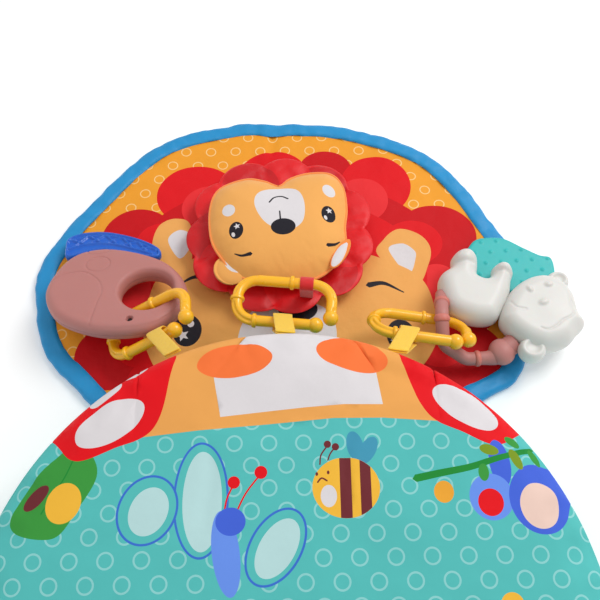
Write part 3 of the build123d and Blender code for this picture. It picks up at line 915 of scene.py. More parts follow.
def flap_prints():
    prints = []
    lobes = [(-12, 461, 36, 33), (42, 470, 27, 24), (93, 448, 36, 38), (149, 385, 40, 36),
             (172, 318, 34, 42), (166, 252, 34, 34), (-90, 438, 41, 38), (-146, 385, 36, 36),
             (-166, 318, 34, 40), (-160, 256, 33, 33), (-100, 228, 44, 34), (110, 226, 44, 34)]
    for i, (x, y, wide, tall) in enumerate(lobes):
        prints.append((ellipse(x, y, wide, tall), MANE_DARK if i % 2 else MANE_RED))
    prints.append((ellipse(3, 345, 160, 112), MANE_DARK))
    for i, (x, y, wide, tall) in enumerate(lobes[:10]):
        centre = np.array((3, 335.0))
        inner = centre + (np.array((x, y)) - centre) * 0.84
        prints.append((ellipse(inner[0], inner[1], wide * 0.72, tall * 0.72),
                       MANE_LIGHT if i % 2 == 0 else MANE_RED))
    prints.append((ellipse(3, 340, 133, 92), MANE_RED))
    ears = (([(-94, 340), (-118, 350), (-131, 373), (-126, 400), (-109, 409), (-94, 398)],
             [(-116, 383), (-105, 395), (-92, 388), (-94, 374), (-104, 362)]),
            ([(90, 362), (97, 381), (113, 393), (133, 386), (142, 370), (138, 350), (124, 330)],
             [(101, 369), (114, 376), (125, 369), (127, 360), (118, 341)]))
    for ear, white in ears:
        prints.append((smooth_curve(ear, 2), LION_TAN))
        prints.append((smooth_curve(white, 2), WHITE_PRINT))
    face = smooth_curve([(-131, 300), (-122, 340), (-84, 364), (0, 388), (84, 362), (128, 338),
                         (140, 300), (136, 262), (100, 228), (0, 214), (-96, 226), (-128, 262)], 3)
    prints.append((face, LION_TAN))
    prints += [(stroke([(79, 328), (94, 330), (112, 320)], 6, 1.2), INK),
               (stroke([(-72, 338), (-88, 340), (-101, 332)], 7, 1.5), INK),
               (smooth_curve([(-44, 262), (-40, 290), (-22, 308), (12, 313), (40, 300), (46, 270),
                              (30, 244), (-26, 242)], 2), WHITE_PRINT),
               (ellipse(11, 303, 18.5, 13), INK),
               (stroke([(-18, 262), (0, 252), (20, 260)], 3, 3), INK)]
    for x, y in ((-92, 282), (106, 274)):
        prints += [(ellipse(x, y, 13.5, 16.5), INK), (ellipse(x + 3, y + 7, 3.2, 3.6), WHITE_PRINT),
                   (star(x - 4, y - 5, 6.5, 20), WHITE_PRINT)]
    return prints


def make_flap():
    edge, plan = flap_plan()
    inset = inward(anticlockwise(plan), CLOTH_INSET)
    top = printed_cloth("flap_front", inset, flap_prints(), (ORANGE, 1), flap_top,
                        5.0, FLAP_CLOTH)
    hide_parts("flap_front_fabric", "flap_root_panel", "flap_wadding")

    def under(points, gap, where):
        return 0.5 + 0.3 * ripple(points[:, 0], points[:, 1], 30, 31) * np.minimum(gap / 15, 1)

    back = printed_cloth("flap_back", inset, [], (ORANGE, 0), under, 7.0,
                         FLAP_BACK_CLOTH, up=False)
    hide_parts("flap_back_fabric")

    section = [(BINDING_WIDTH, 7.2), (BINDING_WIDTH - 0.7, 8.4), (13, 8.8), (8, 9.0), (5, 8.8),
               (2, 7.9), (0.2, 5.6), (0.1, 2.6), (1.8, 0.7), (5.5, 0.1), (11, 0.1),
               (BINDING_WIDTH, 0.3)]
    ahead = np.gradient(edge, axis=0)
    ahead /= np.linalg.norm(ahead, axis=1)[:, None]
    inner = np.stack([-ahead[:, 1], ahead[:, 0]], 1)
    steps = np.linalg.norm(np.diff(edge, axis=0), axis=1)
    around = np.concatenate([[0], np.cumsum(steps)])
    wobble = 0.9 * ripple(around, around * 0, 18, 13) + 0.5 * ripple(around, around * 0, 7, 14)
    points = []
    for place, normal, s, wave in zip(edge, inner, around, wobble):
        for k, (depth, z) in enumerate(section):
            shift = float(ripple(s + 3 * k, k * 5.0, 7, 15)) if z > 3 else 0.0
            spot = place + normal * (depth + (wave if depth < 8 else 0.3 * wave))
            points.append((spot[0], spot[1], max(0.1, z + 0.9 * shift)))
    count = len(section)
    faces = [(i * count + k, i * count + k + 1, (i + 1) * count + k + 1, (i + 1) * count + k)
             for i in range(len(edge) - 1) for k in range(count - 1)]
    rim = mesh_piece("flap_edge_binding", points, faces, BINDING_SATIN)
    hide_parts("flap_binding", "flap_root_binding")
    for piece in (top, back, rim):
        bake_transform(piece)


# ---- loops and rings -------------------------------------------------------------------------

JOINTS = {j["name"]: j for j in frame["joints"]}
RING_LENGTH, RING_WIDTH, RING_TUBE, RING_CORNER = 92.0, 50.0, 9.5, 17.0
RING_BALL, RING_COLLAR, RING_MOUTH, MOUTH_TURN = 13.6, 12.6, 1.2, 32.0
WEBBING_WIDTH, WEBBING_THICK = 16.5, 1.5
LOOP_CLEAR, LOOP_SPREAD = 2.6, 0.9  # from the ring to the tape's middle, and half the tape's fold
RINGS = {
    "left": ((-121.0, 270.5, 41.5), 10.0, 31.5, -9.0),
    "centre": ((-1.0, 280.5, 59.0), -5.9, 0.0, 0.0),
    "right": ((118.0, 263.0, 43.0), -6.9, -5.5, -36.0),
}


def ribbon(name, line, across, width, thick, material):
    """A flat tape along a line, its width along the direction across."""
    line = np.asarray(line, float)
    across = np.asarray(across, float) / np.linalg.norm(across)
    ahead = np.gradient(line, axis=0)
    ahead /= np.linalg.norm(ahead, axis=1)[:, None]
    section = [(-0.5, 0.25), (-0.48, 0.5), (0.48, 0.5), (0.5, 0.25), (0.5, -0.25), (0.48, -0.5),
               (-0.48, -0.5), (-0.5, -0.25)]
    columns = 8
    points = []
    for i, (place, direction) in enumerate(zip(line, ahead)):
        normal = np.cross(direction, across)
        normal /= np.linalg.norm(normal)
        for u, v in section:
            points.append(place + across * width * u + normal * thick * v)
    faces = [(i * columns + k, i * columns + (k + 1) % columns,
              (i + 1) * columns + (k + 1) % columns, (i + 1) * columns + k)
             for i in range(len(line) - 1) for k in range(columns)]
    faces += [tuple(range(columns))[::-1],
              tuple((len(line) - 1) * columns + k for k in range(columns))]
    piece = mesh_piece(name, points, faces, material)
    bevelled = piece.modifiers.new("soften", "SUBSURF")
    bevelled.levels = bevelled.render_levels = 1
    return piece


def loop_line(root, held, leg, radius, spread):
    """From the sewn end, round a leg and back: the line of a folded tape."""
    along = held - root
    length = np.linalg.norm(along)
    along = along / length
    along = along - leg * (along @ leg)
    along /= np.linalg.norm(along)
    side = np.cross(leg, along)
    angles = np.radians(np.linspace(-100, 100, 22))
    wrap = [held + radius * (cos(a) * along - sin(a) * side) for a in angles]
    upper = [root + side * spread + (wrap[0] - root - side * spread) * t
             for t in (-0.02, 0.3, 0.65)]
    lower = [wrap[-1] + (root - side * spread - wrap[-1]) * t for t in (0.35, 0.7, 1.02)]
    return smooth_curve(upper + wrap + lower, 1.2, closed=False)


def ring_path():
    """The split ring's centre line in its own plane, and its two ends."""
    x, y = (RING_LENGTH - RING_TUBE) / 2, (RING_WIDTH - RING_TUBE) / 2
    apart = RING_BALL + RING_MOUTH
    first = (x, -y + apart * sin(radians(MOUTH_TURN)), 0)
    last = (x - apart * cos(radians(MOUTH_TURN)), -y, 0)
    line = rounded_path([first, (x, y, 0), (-x, y, 0), (-x, -y, 0), last], [RING_CORNER] * 3, 1.2)
    return line, first, last


def make_ring(side):
    centre, turn, rise, roll = RINGS[side]
    place = placement(centre, turn, rise, roll)
    line, first, last = ring_path()
    x, y = (RING_LENGTH - RING_TUBE) / 2, (RING_WIDTH - RING_TUBE) / 2
    inside_corner = np.maximum(np.abs(line[:, 0]) - (x - RING_CORNER), 0) * np.maximum(
        np.abs(line[:, 1]) - (y - RING_CORNER), 0)
    cornered = np.clip(inside_corner / 40, 0, 1)
    knuckle = np.exp(-((inside_corner - 6) / 5) ** 2)
    radius = RING_TUBE / 2 * (1 + 0.05 * knuckle)

    def groove(i, angle):
        """A slot along the outside of each corner."""
        return 1 - 0.36 * cornered[i] * np.exp(-((angle - 2 * pi + 0.9) / 0.36) ** 2)

    pieces = [sweep(f"ring_{side}_cane", line, radius, RING_PLASTIC, sides=32, squash=groove)]
    for i, end in enumerate((first, last)):
        pieces.append(ball(f"ring_{side}_ball_{i}", end, RING_BALL / 2, RING_PLASTIC))
    collars = [((RING_CORNER - x, -y, 0), (1, 0, 0)), ((5, y, 0), (1, 0, 0)),
               ((-x, 0, 0), (0, 1, 0))]
    for i, (middle, axis) in enumerate(collars):
        middle, axis = np.array(middle, float), np.array(axis, float)
        shares = np.linspace(-1, 1, 9)
        line = [middle + axis * s * 1.9 for s in shares]
        swell = RING_COLLAR / 2 - 1.4 + 1.4 * np.sqrt(np.clip(1 - shares ** 4, 0, 1))
        pieces.append(sweep(f"ring_{side}_collar_{i}", line, swell, RING_PLASTIC, sides=32))
    made = joined(f"ring_{side}_link", pieces)
    made.data.transform(Matrix([[v if c < 3 else v * MM for c, v in enumerate(row)]
                                for row in place.tolist()]))
    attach(made, f"ring_{side}")
    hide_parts(f"ring_{side}")


def make_loops_and_rings():
    for side in RINGS:
        root = np.array(JOINTS[f"loop_{side}_swing"]["pos_m"]) / MM
        swing = JOINTS[f"ring_{side}_swing"]
        held, leg = np.array(swing["pos_m"]) / MM, np.array(swing["axis"])
        line = loop_line(root, held, leg / np.linalg.norm(leg), RING_TUBE / 2 + LOOP_CLEAR,
                         LOOP_SPREAD)
        loop = ribbon(f"webbing_{side}", line, leg, WEBBING_WIDTH, WEBBING_THICK, LOOP_WEBBING)
        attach(loop, f"loop_{side}")
        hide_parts(f"loop_{side}")
        make_ring(side)


# ---- rattle ----------------------------------------------------------------------------------

RATTLE_PLACE = placement((-124.0, 290.0, 37.0), 4.1, 0.0, -13.0)
RATTLE_OUTLINE = [(-93, 20), (-80, -8), (-50, -26), (-20, -32), (8, -28.5), (28, -13), (36, 8),
                  (30, 32), (12, 54), (-18, 69), (-48, 75), (-72, 68), (-87, 47)]
RATTLE_HALF = 9.0
RATTLE_HOLE = (-1.0, 15.0)
RATTLE_THROAT = 23.5
RATTLE_SIDES = 400
SEAM_WALL = 1.2  # half the flat wall where the shells meet
EDGE_ROUNDING, HOLE_ROUNDING = 7.5, 4.5
SCREW_AT, SCREW_PIT, SCREW_DEPTH = (-14, -20.5), 3.3, 4.5
LINE_DEPTH, LINE_WIDTH = 0.9, 0.6
COMB_OUTLINE = [(-78, 70), (-82, 84), (-80, 97), (-64, 103), (-40, 101), (-10, 88), (9, 72),
                (4, 61), (-30, 72), (-50, 76)]


def line_distance(points, line):
    return np.min(np.linalg.norm(points[:, None, :] - np.asarray(line)[None], axis=2), axis=1)


def rattle_engraving(points):
    """How deep the thin lines in the faces are: a round mark, a nose arc and a small box."""
    circle = ellipse(-47, 51, 11.2, 9.6, 0, 0.6)
    arc = smooth_curve([(-89, 33), (-76, 41), (-60, 42), (-46, 31), (-41, 16), (-44, 2),
                        (-49, -24)], 0.6, closed=False)
    box = smooth_curve([(-58, 72), (-56, 66), (-40, 66), (-38, 71)], 0.6, closed=False)
    gap = np.minimum(line_distance(points, circle), line_distance(points, arc))
    gap = np.minimum(gap, line_distance(points, box))
    return -LINE_DEPTH * np.exp(-(gap / LINE_WIDTH) ** 2)


def make_rattle():
    outer = anticlockwise(smooth_curve(RATTLE_OUTLINE, 0.9))
    count = RATTLE_SIDES
    where = np.linspace(0, len(outer), count, endpoint=False)
    low = np.floor(where).astype(int) % len(outer)
    share = (where - np.floor(where))[:, None]
    outer = outer[low] * (1 - share) + outer[(low + 1) % len(outer)] * share
    hole = np.array(RATTLE_HOLE)
    away = outer - hole
    away /= np.linalg.norm(away, axis=1)[:, None]
    reach = np.linalg.norm(outer - hole, axis=1)
    rows = []
    for t in np.concatenate([np.linspace(0, 1, 12) ** 1.8 * 0.18, np.linspace(0.2, 0.8, 44),
                             np.linspace(0.815, 1, 16)]):
        radius = reach * (1 - t) + RATTLE_THROAT * t
        flat = hole + away * radius[:, None]
        from_edge = np.minimum((reach - radius) * 0.93, 30)
        from_hole = radius - RATTLE_THROAT
        round_edge = np.clip(from_edge / EDGE_ROUNDING, 0, 1)
        z = SEAM_WALL + (RATTLE_HALF - SEAM_WALL) * np.sqrt(1 - (1 - round_edge) ** 2)
        slope = np.clip(from_hole / HOLE_ROUNDING, 0, 1)
        z = np.minimum(z, 1.5 + (RATTLE_HALF - 1.5) * np.sqrt(1 - (1 - slope) ** 2))
        crown = 0.8 * np.sin(pi * np.clip(t, 0, 1))
        rows.append((flat, z + crown * (z > RATTLE_HALF * 0.85)))
    for name, side in (("front", 1), ("back", -1)):
        points = []
        for flat, z in rows:
            height = z.copy()
            if side > 0:
                height += rattle_engraving(flat)
                pit = np.linalg.norm(flat - SCREW_AT, axis=1)
                height -= SCREW_DEPTH * np.clip((SCREW_PIT - pit) / 0.8, 0, 1)
            points.append(np.column_stack([flat, side * height]))
        seam = 0.12 * side
        first = np.column_stack([rows[0][0], np.full(count, seam)])
        last = np.column_stack([rows[-1][0], np.full(count, seam)])
        points = [first] + points + [last]
        faces = []
        for r in range(len(points) - 1):
            for i in range(count):
                quad = (r * count + i, r * count + (i + 1) % count,
                        (r + 1) * count + (i + 1) % count, (r + 1) * count + i)
                faces.append(quad if side > 0 else quad[::-1])
        moved = np.vstack(points) @ RATTLE_PLACE[:3, :3].T + RATTLE_PLACE[:3, 3]
        shell = mesh_piece(f"rattle_{name}", moved, faces, MAUVE_PLASTIC)
        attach(shell, "rattle")
        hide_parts(f"rattle_{name}_shell")

    outline = anticlockwise(smooth_curve(COMB_OUTLINE, 1.2))
    upper = smooth_curve([(-79, 92), (-60, 97), (-38, 95), (-12, 83), (5, 71)], 1, closed=False)
    lower = smooth_curve([(-78, 81), (-60, 86), (-38, 84), (-14, 74), (2, 66)], 1, closed=False)
    ribs = [upper, lower]
    for k in range(5):
        a, b = (k + 0.2) / 5.4, (k + 1.1) / 5.4
        for start, end in ((upper, lower), (lower, upper)):
            p = start[int(a * (len(start) - 1))]
            q = end[int(b * (len(end) - 1))]
            ribs.append(np.linspace(p, q, 24))

    def face(points, gap):
        z = 1.2 + 3.3 * np.sqrt(1 - (1 - np.clip(gap / 2.6, 0, 1)) ** 2)
        trough = np.clip((gap - 2.4) / 0.9, 0, 1) * 2.3
        rib = np.exp(-(line_distance(points, np.vstack(ribs)) / 1.0) ** 4)
        return z - trough * (1 - rib)

    comb = pillow("rattle_comb_piece", outline, face, lambda p, g: -face(p, g), 0.85,
                  COMB_PLASTIC, rims=(0.3, 0.9, 1.8), place=RATTLE_PLACE)
    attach(comb, "rattle")
    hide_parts("rattle_comb")


# ---- bear teether ----------------------------------------------------------------------------

BEAR_PLACE = placement((180.7, 311.4, 0.0), 4.1)
BODY_MIDDLE, HEAD_MIDDLE, PAD_MIDDLE, EAR_MIDDLE = 27.5, 28.5, 14.5, 29.5
BEAR_RING = [(143, 303, 30), (138, 274, 44), (139, 252, 30), (160, 242, 20), (184, 243, 20),
             (204, 256, 23)]


def dome(gap, half, rounding):
    """Height of a rounded pad above its middle plane."""
    return half * np.sqrt(np.maximum(1 - (1 - np.clip(gap / rounding, 0, 1)) ** 2, 0))


def bump_at(points, x, y, wide, tall, turn, height, sharp=2.0):
    """The height of a smooth raised spot, as wide and tall as given, turned by turn degrees."""
    c, s = cos(radians(turn)), sin(radians(turn))
    dx, dy = points[:, 0] - x, points[:, 1] - y
    u, v = (dx * c + dy * s) / wide, (dy * c - dx * s) / tall
    return height * np.exp(-(u * u + v * v) ** sharp)


def make_bear():
    body_outline = anticlockwise(smooth_curve(
        [(-40, 4), (-35, 15), (-25, 22), (-23, 31), (-15, 38.5), (-5, 38.5), (1, 31), (0, 21),
         (-2, 11), (5, 6.5), (11, 10), (13, 17), (21, 22), (29, 19), (31.5, 11), (27.5, 2),
         (23, -12), (14, -27), (4, -37.5), (-12, -38), (-29, -30), (-38, -18)], 1.5))
    necks = np.vstack([np.linspace((-25, 22.5), (1, 20.5), 20), np.linspace((12, 12), (29, 6), 16)])

    def body_height(points, gap):
        feet = (bump_at(points, -12, 31, 12, 9, 0, 2.4)
                + bump_at(points, 22, 15.5, 8.5, 7, -20, 2.0))
        neck = -2.0 * np.exp(-(line_distance(points, necks) / 1.6) ** 2)
        return dome(gap, 16.3, 13.5) + (feet + neck) * np.clip(gap / 5, 0, 1)

    def body_back(points, gap):
        return BODY_MIDDLE - dome(gap, 16.3, 13.5)

    body = pillow("bear_body_shell", body_outline, lambda p, g: BODY_MIDDLE + body_height(p, g),
                  body_back, 1.5, BEAR_PLASTIC, rims=(0.25, 0.8, 1.8, 3.4), place=BEAR_PLACE)
    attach(body, "bear")
    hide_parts("bear_body")

    head_outline = anticlockwise(smooth_curve(
        [(8.5, -37), (15, -22), (26, -8), (42, 2), (58, 4), (72, -3), (80, -18), (80, -36),
         (83, -49), (74, -58), (65, -66), (52, -70), (39, -70), (26, -63), (17, -54),
         (11, -46)], 1.4))
    smile = smooth_curve([(73, -29), (75, -37), (69, -45), (60, -49), (53, -54), (45, -57),
                          (39, -55)], 0.7, closed=False)
    chin = smooth_curve([(19, -25), (22, -32), (30, -35)], 0.7, closed=False)

    def head_height(points, gap):
        marks = (bump_at(points, 38, -15, 2.4, 3.4, 20, 2.0)
                 + bump_at(points, 56, -12, 3.4, 2.4, 10, 2.0)
                 + bump_at(points, 47, -30, 4.2, 2.8, 15, 2.2))
        muzzle = bump_at(points, 56, -36, 17, 15, -30, 1.0, 1.2)
        groove = -1.0 * np.exp(-(line_distance(points, smile) / 0.8) ** 2)
        groove -= 0.9 * np.exp(-(line_distance(points, chin) / 0.8) ** 2)
        return dome(gap, 17.0, 13.0) + marks + muzzle + groove

    pieces = [pillow("bear_head_shell", head_outline, lambda p, g: HEAD_MIDDLE + head_height(p, g),
                     lambda p, g: HEAD_MIDDLE - dome(g, 17.5, 13.0), 1.0, BEAR_PLASTIC,
                     rims=(0.25, 0.8, 1.8, 3.2), place=BEAR_PLACE)]
    for i, (x, y, wide, tall) in enumerate(((70, -2, 10.5, 9.5), (31, -69, 12, 11.5))):
        def ear_height(points, gap, x=x, y=y, wide=wide):
            hollow = bump_at(points, x, y, wide * 0.55, wide * 0.5, 0, -3.2, 2.5)
            return dome(gap, 9.0, 5.0) + hollow
        pieces.append(pillow(f"bear_ear_{i}", ellipse(x, y, wide, tall, 0, 1.2),
                             lambda p, g, h=ear_height: EAR_MIDDLE + h(p, g),
                             lambda p, g: EAR_MIDDLE - dome(g, 8.0, 5.0), 1.1, BEAR_PLASTIC,
                             rims=(0.3, 1.0), place=BEAR_PLACE))
    head = joined("bear_head_shell", pieces)
    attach(head, "bear")
    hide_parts("bear_head")

    pad_outline = anticlockwise(smooth_curve(
        [(-10, 16), (-6, 42), (2, 55), (10, 61), (23, 62), (37, 59), (52, 48), (66, 38), (77, 33),
         (76, 14), (68, -2), (44, -4), (10, 4)], 1.6))
    dots = [(x, y) for j, y in enumerate(range(8, 60, 12)) for x in range(-2 + 7 * (j % 2), 76, 15)]

    def pad_top(points, gap):
        z = PAD_MIDDLE + dome(gap, 3.6, 3.0)
        for x, y in dots:
            z = z + bump_at(points, x, y, 1.5, 1.5, 0, 1.2) * (gap > 4)
        return z

    pad = pillow("bear_teether_sheet", pad_outline, pad_top,
                 lambda p, g: PAD_MIDDLE - dome(g, 3.4, 3.0), 1.1, SILICONE_RUBBER,
                 rims=(0.3, 0.9, 1.8), place=BEAR_PLACE)
    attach(pad, "bear")
    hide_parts("bear_teether_pad")

    line = rounded_path(BEAR_RING, [12, 12, 12, 20], 1.2)
    steps = np.concatenate([[0], np.cumsum(np.linalg.norm(np.diff(line, axis=0), axis=1))])
    to_end = steps[-1] - steps
    radius = 6.0 + 3.2 / (1 + np.exp((to_end - 24) / 2.5))
    ring = sweep("bear_cane_ring", line, radius, MAUVE_PLASTIC, sides=32)
    elbow = ball("bear_elbow", (192, 247.5, 22.5), 1.0, MAUVE_PLASTIC, (12.0, 12.5, 9.6))
    ring = joined("bear_cane_ring", [ring, elbow])
    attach(ring, "bear")
    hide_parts("bear_ring")
    collars = []
    for i, at in enumerate((14, 34, 92, 112)):
        k = int(np.argmin(np.abs(steps - at)))
        span = line[max(0, k - 2):k + 3]
        shares = np.linspace(-1, 1, len(span))
        swell = radius[k] + 0.3 + 0.9 * np.sqrt(np.clip(1 - shares ** 4, 0, 1))
        collars.append(sweep(f"bear_collar_{i}", span, swell, COLLAR_PLASTIC, sides=32))
    collar = joined("bear_ring_collars", collars)
    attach(collar, "bear")


# ---- plush lion ------------------------------------------------------------------------------

PLUSH_PLACE = placement((-4.6, 378.3, 0.0), 4.1)
PLUSH_SEAM_Z = 37.0
FACE_PUFF, FACE_BACK = 16.5, 13.0  # how far the face swells above and below its seam
MANE_LOBES = 11
MANE_Y = 3  # the mane's middle in the toy's own plane
MANE_MIDDLE = 18.5
BACK_MIDDLE = 13.5
TAB_WIDTH, TAB_THICK = 12.0, 1.2
FACE_EDGE = [(2, 46), (-12, 53), (-30, 57), (-56, 47), (-66, 24), (-66, -12), (-56, -36),
             (-45, -52), (-28, -61), (-6, -65), (14, -66), (34, -60), (50, -46), (59, -28),
             (61, -8), (65, 14), (64, 40), (54, 56), (33, 59), (14, 54)]


def face_prints():
    prints = [(smooth_curve([(-23, 14), (-18, 30), (0, 36), (18, 30), (24, 12), (20, -10), (4, -19),
                             (-14, -8)], 1.2), WHITE_PRINT),
              (ellipse(2, -14, 11.5, 9), INK), (stroke([(0, -6), (0, 4)], 1.6, 1.3, 0.8), INK),
              (stroke([(-9, 16), (-4, 22), (3, 23), (9, 19)], 1.6, 1.6, 0.8), INK),
              (ellipse(-48, 12, 6.2, 7, 20), WHITE_PRINT),
              (ellipse(49, 27, 6, 7.5, 20), WHITE_PRINT),
              (stroke([(-45, -35), (-38, -39), (-30, -39)], 0.8, 3.6, 0.8), INK),
              (stroke([(42, -34), (49, -32), (54, -28)], 3.6, 0.8, 0.8), INK)]
    for x, y in ((-42, -12), (46, 0)):
        prints += [(ellipse(x, y, 6.8, 9, 0, 0.8), INK),
                   (ellipse(x - 3, y - 4, 1.6, 2.4, 15, 0.5), WHITE_PRINT),
                   (star(x + 1, y + 4, 3.4, 10), WHITE_PRINT)]
    return prints


def plush_face():
    outline = anticlockwise(smooth_curve(FACE_EDGE, 1.6))

    def top(points, gap):
        swell = FACE_PUFF * (1 - np.exp(-gap / 13)) * (1 - np.exp(-gap / 3.0)) ** 0.3
        pucker = 0.5 * ripple(points[:, 0], points[:, 1], 6, 41) * np.exp(-((gap - 5) / 5) ** 2)
        return PLUSH_SEAM_Z + swell + pucker + 0.7 * ripple(points[:, 0], points[:, 1], 30, 42)

    def bottom(points, gap):
        return PLUSH_SEAM_Z - FACE_BACK * (1 - np.exp(-gap / 8))

    face = pillow("plush_face", outline, top, bottom, 2.4, FACE_PLUSH, face_prints(),
                  (LION_TAN, 0), rims=(0.4, 1.2, 2.6), place=PLUSH_PLACE)
    heights = [v.co.z / MM for v in face.data.vertices]
    inflate(face, pressure=60.0, frames=12, cap=2.5,
            held=[i for i, z in enumerate(heights) if abs(z - PLUSH_SEAM_Z) < 0.8])
    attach(face, "plush")
    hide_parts("plush_face_cover", "plush_filling")
    seam = np.column_stack([outline, np.full(len(outline), PLUSH_SEAM_Z)])
    seam = np.vstack([seam, seam[:2]]) @ PLUSH_PLACE[:3, :3].T + PLUSH_PLACE[:3, 3]
    piping = sweep("plush_piping", seam, 1.25, PIPING_CLOTH, sides=10, caps=False)
    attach(piping, "plush")


def mane_outline():
    """Scallops round the mane; one lobe's edge wherever it stands furthest out."""
    centre, radius = 62.5, 30.5
    angles = np.linspace(0, 2 * pi, 520, endpoint=False)
    reach = np.zeros(len(angles))
    for k in range(MANE_LOBES):
        lobe = 2 * pi * (k + 0.5) / MANE_LOBES + 0.05 * sin(3.0 * k)
        size = radius + 1.5 * sin(2.3 * k)
        off = angles - lobe
        inner = size ** 2 - (centre * np.sin(off)) ** 2
        far = centre * np.cos(off) + np.sqrt(np.maximum(inner, 0))
        reach = np.maximum(reach, np.where((inner > 0) & (np.cos(off) > 0), far, 0))
    return np.stack([reach * np.cos(angles), MANE_Y + reach * np.sin(angles)], 1)


def plush_mane():
    outline = mane_outline()
    prints = []
    for k in range(MANE_LOBES):
        a = 2 * pi * (k + 0.5) / MANE_LOBES
        prints.append((ellipse(62 * cos(a), MANE_Y + 62 * sin(a), 30, 29, 57.3 * a, 2),
                       MANE_DARK if k % 2 else MANE_RED))

    def wrinkle(points, gap):
        x, y = points[:, 0], points[:, 1] - MANE_Y
        angle = np.arctan2(y, x)
        away = np.hypot(x, y)
        folds = np.sin(angle * (2 * MANE_LOBES) + 3.0 * ripple(x, y, 26, 51))
        folds = folds * np.clip((away - 50) / 25, 0, 1)
        creases = 0.9 * ripple(x, y, 21, 52) + 0.4 * ripple(x, y, 8, 53)
        valley = -2.4 * np.abs(np.cos(angle * (MANE_LOBES / 2))) ** 14
        valley = valley * np.clip((away - 55) / 20, 0, 1)
        return (0.5 * folds + creases + valley) * np.clip(gap / 5, 0, 1)

    def rise(points):
        away = np.hypot(points[:, 0], points[:, 1] - MANE_Y)
        return 3.0 * np.clip((away - 45) / 40, 0, 1)

    def top(points, gap):
        return MANE_MIDDLE + 1.6 * (1 - np.exp(-gap / 2)) + wrinkle(points, gap) + rise(points)

    def bottom(points, gap):
        puff = 2.0 * (1 - np.exp(-gap / 2))
        return MANE_MIDDLE - puff + 0.6 * wrinkle(points, gap) + rise(points)

    mane = pillow("plush_mane_satin", outline, top, bottom, 3.0, MANE_SATIN, prints,
                  (MANE_RED, 0), rims=(0.5, 1.5, 3.0), place=PLUSH_PLACE)
    flat = np.array([tuple(v.co.xy) for v in mane.data.vertices]) / MM - PLUSH_PLACE[:2, 3]
    inflate(mane, pressure=4.0, frames=6, cap=1.2,
            held=np.flatnonzero(inside(flat, ellipse(0, MANE_Y, 44, 44))))
    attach(mane, "plush")
    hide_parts("plush_mane")

    back = pillow("plush_back_panel", ellipse(0, MANE_Y, 60, 60, 0, 3),
                  lambda p, g: BACK_MIDDLE + 0.5 * (1 - np.exp(-g / 3)),
                  lambda p, g: BACK_MIDDLE - 3.0 * (1 - np.exp(-g / 8)), 4.0, FACE_PLUSH, [],
                  (LION_TAN, 0), place=PLUSH_PLACE)
    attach(back, "plush")
    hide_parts("plush_back")


def plush_ears():
    """One ear lies under the face's near left corner; the other is folded up against the face."""
    ears = (((-50, -46), (14.5, 17.0), 40, 36.5, (-46, -42), (7.0, 11.0), LION_TAN),
            ((53, -41), (6.0, 18.5), -33, 43.0, (53, -41), (4.8, 17.0), PIPING))
    for i, (at, size, turn, z, inner_at, inner_size, rim) in enumerate(ears):
        outline = ellipse(*at, *size, turn, 1.2)
        white = ellipse(*inner_at, *inner_size, turn, 1.2)

        def ear_top(points, gap, z=z, side=at[0]):
            """The outer side droops a little."""
            droop = 0.22 * np.abs(side) * np.clip((np.abs(points[:, 0]) - 44) / 20, 0, 1)
            return z + 3.2 * (1 - np.exp(-gap / 3)) - 0.3 * droop

        def ear_bottom(points, gap, z=z):
            return z - 1.5 * (1 - np.exp(-gap / 3))

        ear = pillow(f"plush_ear_{i}", outline, ear_top, ear_bottom, 2.0, FACE_PLUSH,
                     [(white, WHITE_PRINT)], (rim, 0), rims=(0.5, 1.5), place=PLUSH_PLACE)
        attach(ear, "plush")


def plush_tab():
    swing = JOINTS["plush_swing"]
    held, leg = np.array(swing["pos_m"]) / MM, np.array(swing["axis"])
    root = np.array((held[0], held[1] + 8, 24.0))
    line = loop_line(root, held, leg / np.linalg.norm(leg), RING_TUBE / 2 + 1.0, 0.8)
    tab = ribbon("plush_hanging_tab", line, leg, TAB_WIDTH, TAB_THICK, TAB_SATIN)
    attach(tab, "plush")
    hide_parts("plush_tab")


# ---- carried-over CAD nodes ------------------------------------------------------------------


def finish_cad_nodes():
    finishes = {"zip_tape": BAND_CLOTH, "zip_slider": ZIP_METAL, "zip_pull": ZIP_METAL,
                "rattle_screw": SCREW_METAL, "rattle_beads": BEAD_PLASTIC,
                "plush_squeaker": BEAR_PLASTIC}
    for node, material in finishes.items():
        piece = frame["nodes"][node]
        piece.data.materials.clear()
        piece.data.materials.append(material)


# ---- studio ----------------------------------------------------------------------------------


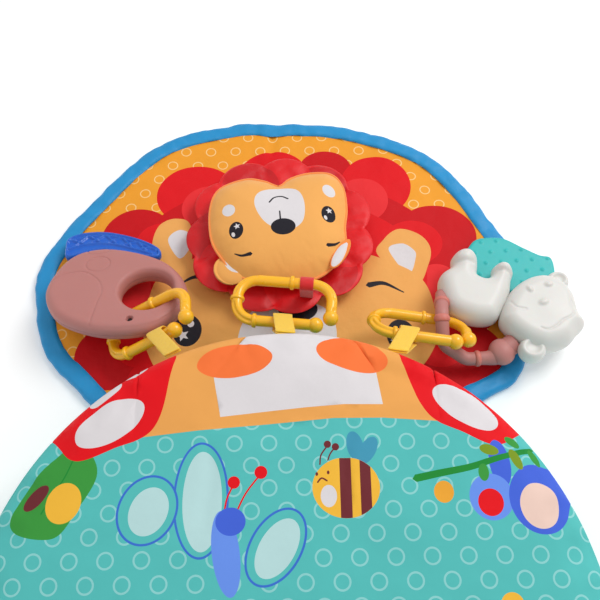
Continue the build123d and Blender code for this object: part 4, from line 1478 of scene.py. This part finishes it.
CAMERA_AT = (0.007, -0.077, 0.682)
CAMERA_DOWN, CAMERA_HEADING = radians(60.0), radians(0.9)
FLOOR_SIDE, FLOOR_DROP = 6000, -0.6
FLOOR_GLOW = 0.12
LOOK_AT = (0, 0.25, 0)


def make_camera():
    """Above the cushion, looking down over its ridge at the flap."""
    camera = bpy.data.cameras.new("camera")
    camera.sensor_width = 36.0
    camera.lens = 49.44
    camera.clip_start = 0.01
    seat = bpy.data.objects.new("camera", camera)
    bpy.context.scene.collection.objects.link(seat)
    seat.location = CAMERA_AT
    ahead = cos(CAMERA_DOWN)
    look = Vector((sin(CAMERA_HEADING) * ahead, cos(CAMERA_HEADING) * ahead, -sin(CAMERA_DOWN)))
    seat.rotation_euler = look.to_track_quat("-Z", "Y").to_euler()
    bpy.context.scene.camera = seat


def make_light(name, place, target, size, power):
    lamp = bpy.data.lights.new(name, "AREA")
    lamp.energy = power
    lamp.size = size
    seat = bpy.data.objects.new(name, lamp)
    bpy.context.scene.collection.objects.link(seat)
    seat.location = place
    seat.rotation_euler = (Vector(target) - Vector(place)).to_track_quat("-Z", "Y").to_euler()


def make_studio():
    floor_look = Nodes("floor", 0.9, (0.97, 0.97, 0.97, 1.0))
    floor_look.shine(Emission_Color=(1.0, 1.0, 1.0, 1.0), Emission_Strength=FLOOR_GLOW)
    corners = [(x * FLOOR_SIDE, y * FLOOR_SIDE, FLOOR_DROP)
               for x, y in ((-1, -1), (1, -1), (1, 1), (-1, 1))]
    floor = mesh_piece("floor", corners, [(0, 1, 2, 3)], floor_look.material)
    world = bpy.data.worlds.new("studio")
    world.use_nodes = True
    sky = world.node_tree.nodes["Background"].inputs
    sky["Color"].default_value = (1, 1, 1, 1)
    sky["Strength"].default_value = 0.62
    bpy.context.scene.world = world
    make_light("key", (1.1, 1.0, 1.6), LOOK_AT, 0.9, 21)
    make_light("fill", (-0.9, 0.1, 1.6), LOOK_AT, 1.4, 2.5)
    bpy.context.scene.view_settings.view_transform = "Standard"


make_camera()
make_studio()
outline_in_plan = make_cushion()
make_stitches(outline_in_plan)
make_zip()
make_flap()
make_loops_and_rings()
make_rattle()
make_bear()
plush_face()
plush_mane()
plush_ears()
plush_tab()
finish_cad_nodes()
